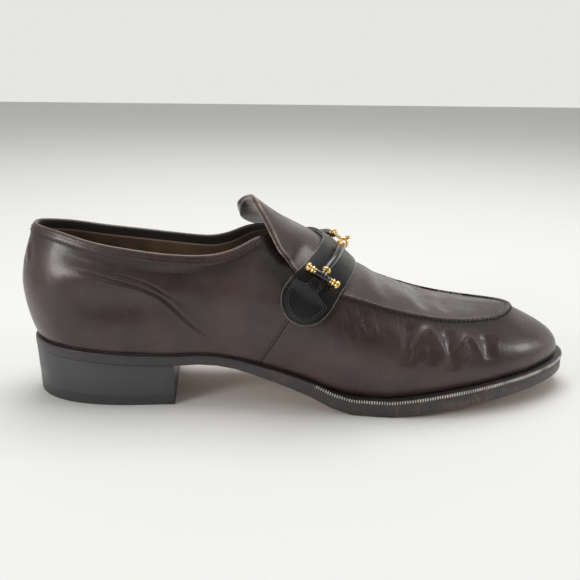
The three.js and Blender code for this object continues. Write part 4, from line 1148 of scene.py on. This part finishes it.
gilt_parts = []
enamel_parts = []
knob_profile = waisted((-2.6, 1.75, 1.2, 1.45), (-1.5, 2.15, 1.7, 1.5), (0.1, 2.4, 3.3, 0.05))
hub_profile = waisted((0.6, 1.9, 1.6, 1.3), (2.0, 2.6, 3.6, 1.7))
collar_profile = waisted((-0.9, 2.25, 1.2, 1.6), (0.1, 2.4, 2.2, 0.9), (2.0, 1.5, 1.2, 0.9))
bead_profile = waisted((-0.3, 0.9, 0.8, 0.7), (0.2, 1.2, 2.3, 0.05))
rod_profile = [
    (-CROSSBAR_HALF, CROSSBAR_RADIUS), (0, CROSSBAR_RADIUS * 1.06), (CROSSBAR_HALF, CROSSBAR_RADIUS),
]
for bar in bars:
    path = [Vector(p) for p in bar["path"]]
    across = Vector(bar["across"])
    for way in (-1, 1):
        end = path[0] + across * way * CROSSBAR_HALF
        gilt_parts.append(turned("knob", end, across * way, knob_profile))
    enamel_parts.append(turned("rod", path[0], across, rod_profile))
    gilt_parts.append(turned("hub", path[0], path[1] - path[0], hub_profile))
    gilt_parts.append(turned("collar", path[-1], path[-1] - path[-2], collar_profile))
    enamel_parts.append(bent("half_bar", path, HALF_BAR_RADIUS))
gilt_parts.append(bent("link", link_path, LINK_RADIUS))

ring_out = Vector(RING_OUT).normalized()
ring_along = (Vector(link_path[3]) - Vector(link_path[1])).normalized()
bpy.ops.object.select_all(action="DESELECT")
bpy.ops.mesh.primitive_torus_add(
    major_radius=RING_RADIUS, minor_radius=RING_WIRE, major_segments=32, minor_segments=12)
ring = bpy.context.active_object
seat = Matrix.Translation(Vector(RING_AT) + ring_out * RING_RISE)
turn = Vector((0, 0, 1)).rotation_difference(ring_along).to_matrix().to_4x4()
ring.data.transform(Matrix.Scale(MM, 4) @ seat @ turn)
smooth(ring)
gilt_parts.append(ring)
bead_at = Vector(RING_AT) + ring_out * BEAD_RISE
gilt_parts.append(turned("ring_bead", bead_at, ring_out, bead_profile))

gilt, tree, shader, place = new_material("gilt")
tarnish = spanned(tree, pattern(tree, place, 3, 5, 0.65), 0.45, 0.7, 0, 0.5)
colour = between(tree, tarnish, (0.86, 0.60, 0.24), (0.50, 0.29, 0.10))
rough = spanned(tree, tarnish, 0, 0.5, 0.14, 0.4)
feed_all(tree, shader, Base_Color=colour, Roughness=rough, Metallic=1.0)
bumped(tree, shader, [(pattern(tree, place, 0.5, 4, 0.6), 0.03)])

enamel, tree, shader, place = new_material("black_enamel")
chips = spanned(tree, pattern(tree, place, 1.6, 5, 0.7), 0.66, 0.7, 0, 0.6)
colour = between(tree, chips, (0.010, 0.009, 0.011), (0.20, 0.15, 0.10))
feed_all(tree, shader, Base_Color=colour, Roughness=0.16, Coat_Weight=0.5)
bumped(tree, shader, [(pattern(tree, place, 1.2, 3, 0.5), 0.03)])

for name, pieces, finish in (
        ("bit_gilt", gilt_parts, gilt), ("bit_enamel", enamel_parts, enamel)):
    bit = joined(name, pieces)
    bit.data.materials.clear()
    bit.data.materials.append(finish)
    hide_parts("bit")
    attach(bit, "root")


# Studio
# A pale floor in a pale room, with one soft light above and two small ones that draw highlights on
# the heel's side and the toe.

bpy.ops.object.select_all(action="DESELECT")
bpy.ops.mesh.primitive_plane_add(size=6, location=(0.1, 0, 0))
floor = bpy.context.active_object
floor.name = "floor"
floor_paint, tree, shader, place = new_material("floor_paint")
feed_all(tree, shader, Base_Color=(0.84, 0.84, 0.82), Roughness=0.75)
floor.data.materials.append(floor_paint)

# The room is pale behind and above the shoe, and darker in front of it
world = bpy.data.worlds.new("room")
world.use_nodes = True
tree = world.node_tree
way = tree.nodes.new("ShaderNodeTexCoord")
parts = node(tree, "ShaderNodeSeparateXYZ", {"Vector": way.outputs["Generated"]})
behind = spanned(tree, parts.outputs["Y"], -0.35, 0.25, 0, 1)
above = spanned(tree, parts.outputs["Z"], 0.45, 0.9, 0, 1)
either = node(tree, "ShaderNodeMath", {}, operation="MAXIMUM")
feed(tree, either.inputs[0], behind)
feed(tree, either.inputs[1], above)
dimmed = spanned(tree, parts.outputs["Z"], 0.12, 0.45, 1, 0.6)
light_share = times(tree, either.outputs[0], dimmed)
colour = between(tree, light_share, (0.16, 0.155, 0.15), (0.79, 0.79, 0.76))
feed_all(tree, tree.nodes["Background"], Color=colour, Strength=1.0)
bpy.context.scene.world = world
bpy.context.scene.view_settings.view_transform = "Standard"

# Each light's name, place, aim, size and power
lights = [
    ("top_light", (0.2, 0.35, 1.2), (0.12, 0, 0.03), 0.9, 9.5),
    ("heel_light", (-0.95, -0.75, 0.55), (0, 0, 0.05), 0.4, 6),
    ("toe_light", (1.25, -0.2, 0.40), (0.2, 0, 0.03), 0.22, 2.3),
]
for name, at, aim, size, power in lights:
    lamp = bpy.data.lights.new(name, "AREA")
    lamp.size = size
    lamp.energy = power
    holder = bpy.data.objects.new(name, lamp)
    bpy.context.scene.collection.objects.link(holder)
    holder.location = at
    holder.rotation_euler = (Vector(aim) - Vector(at)).to_track_quat("-Z", "Y").to_euler()

# The camera stands as in the photograph: 41 cm to the outer side, 18 cm up, looking down a little
CAMERA_AT = (0.0652, -0.4111, 0.1753)
CAMERA_YAW = math.radians(-5.08)
CAMERA_DOWN = math.radians(16.44)
CAMERA_ROLL = math.radians(0.87)
PICTURE_SIDE = 580
FOCAL_LENGTH = 771.3
eye = bpy.data.cameras.new("camera")
eye.sensor_width = 36
eye.lens = FOCAL_LENGTH * eye.sensor_width / PICTURE_SIDE
eye.clip_start = 0.01
camera = bpy.data.objects.new("camera", eye)
bpy.context.scene.collection.objects.link(camera)
camera.location = CAMERA_AT
camera.rotation_mode = "QUATERNION"
camera.rotation_quaternion = (
    Matrix.Rotation(CAMERA_YAW, 3, "Z") @ Matrix.Rotation(math.pi / 2 - CAMERA_DOWN, 3, "X")
    @ Matrix.Rotation(CAMERA_ROLL, 3, "Z")
).to_quaternion()
bpy.context.scene.camera = camera
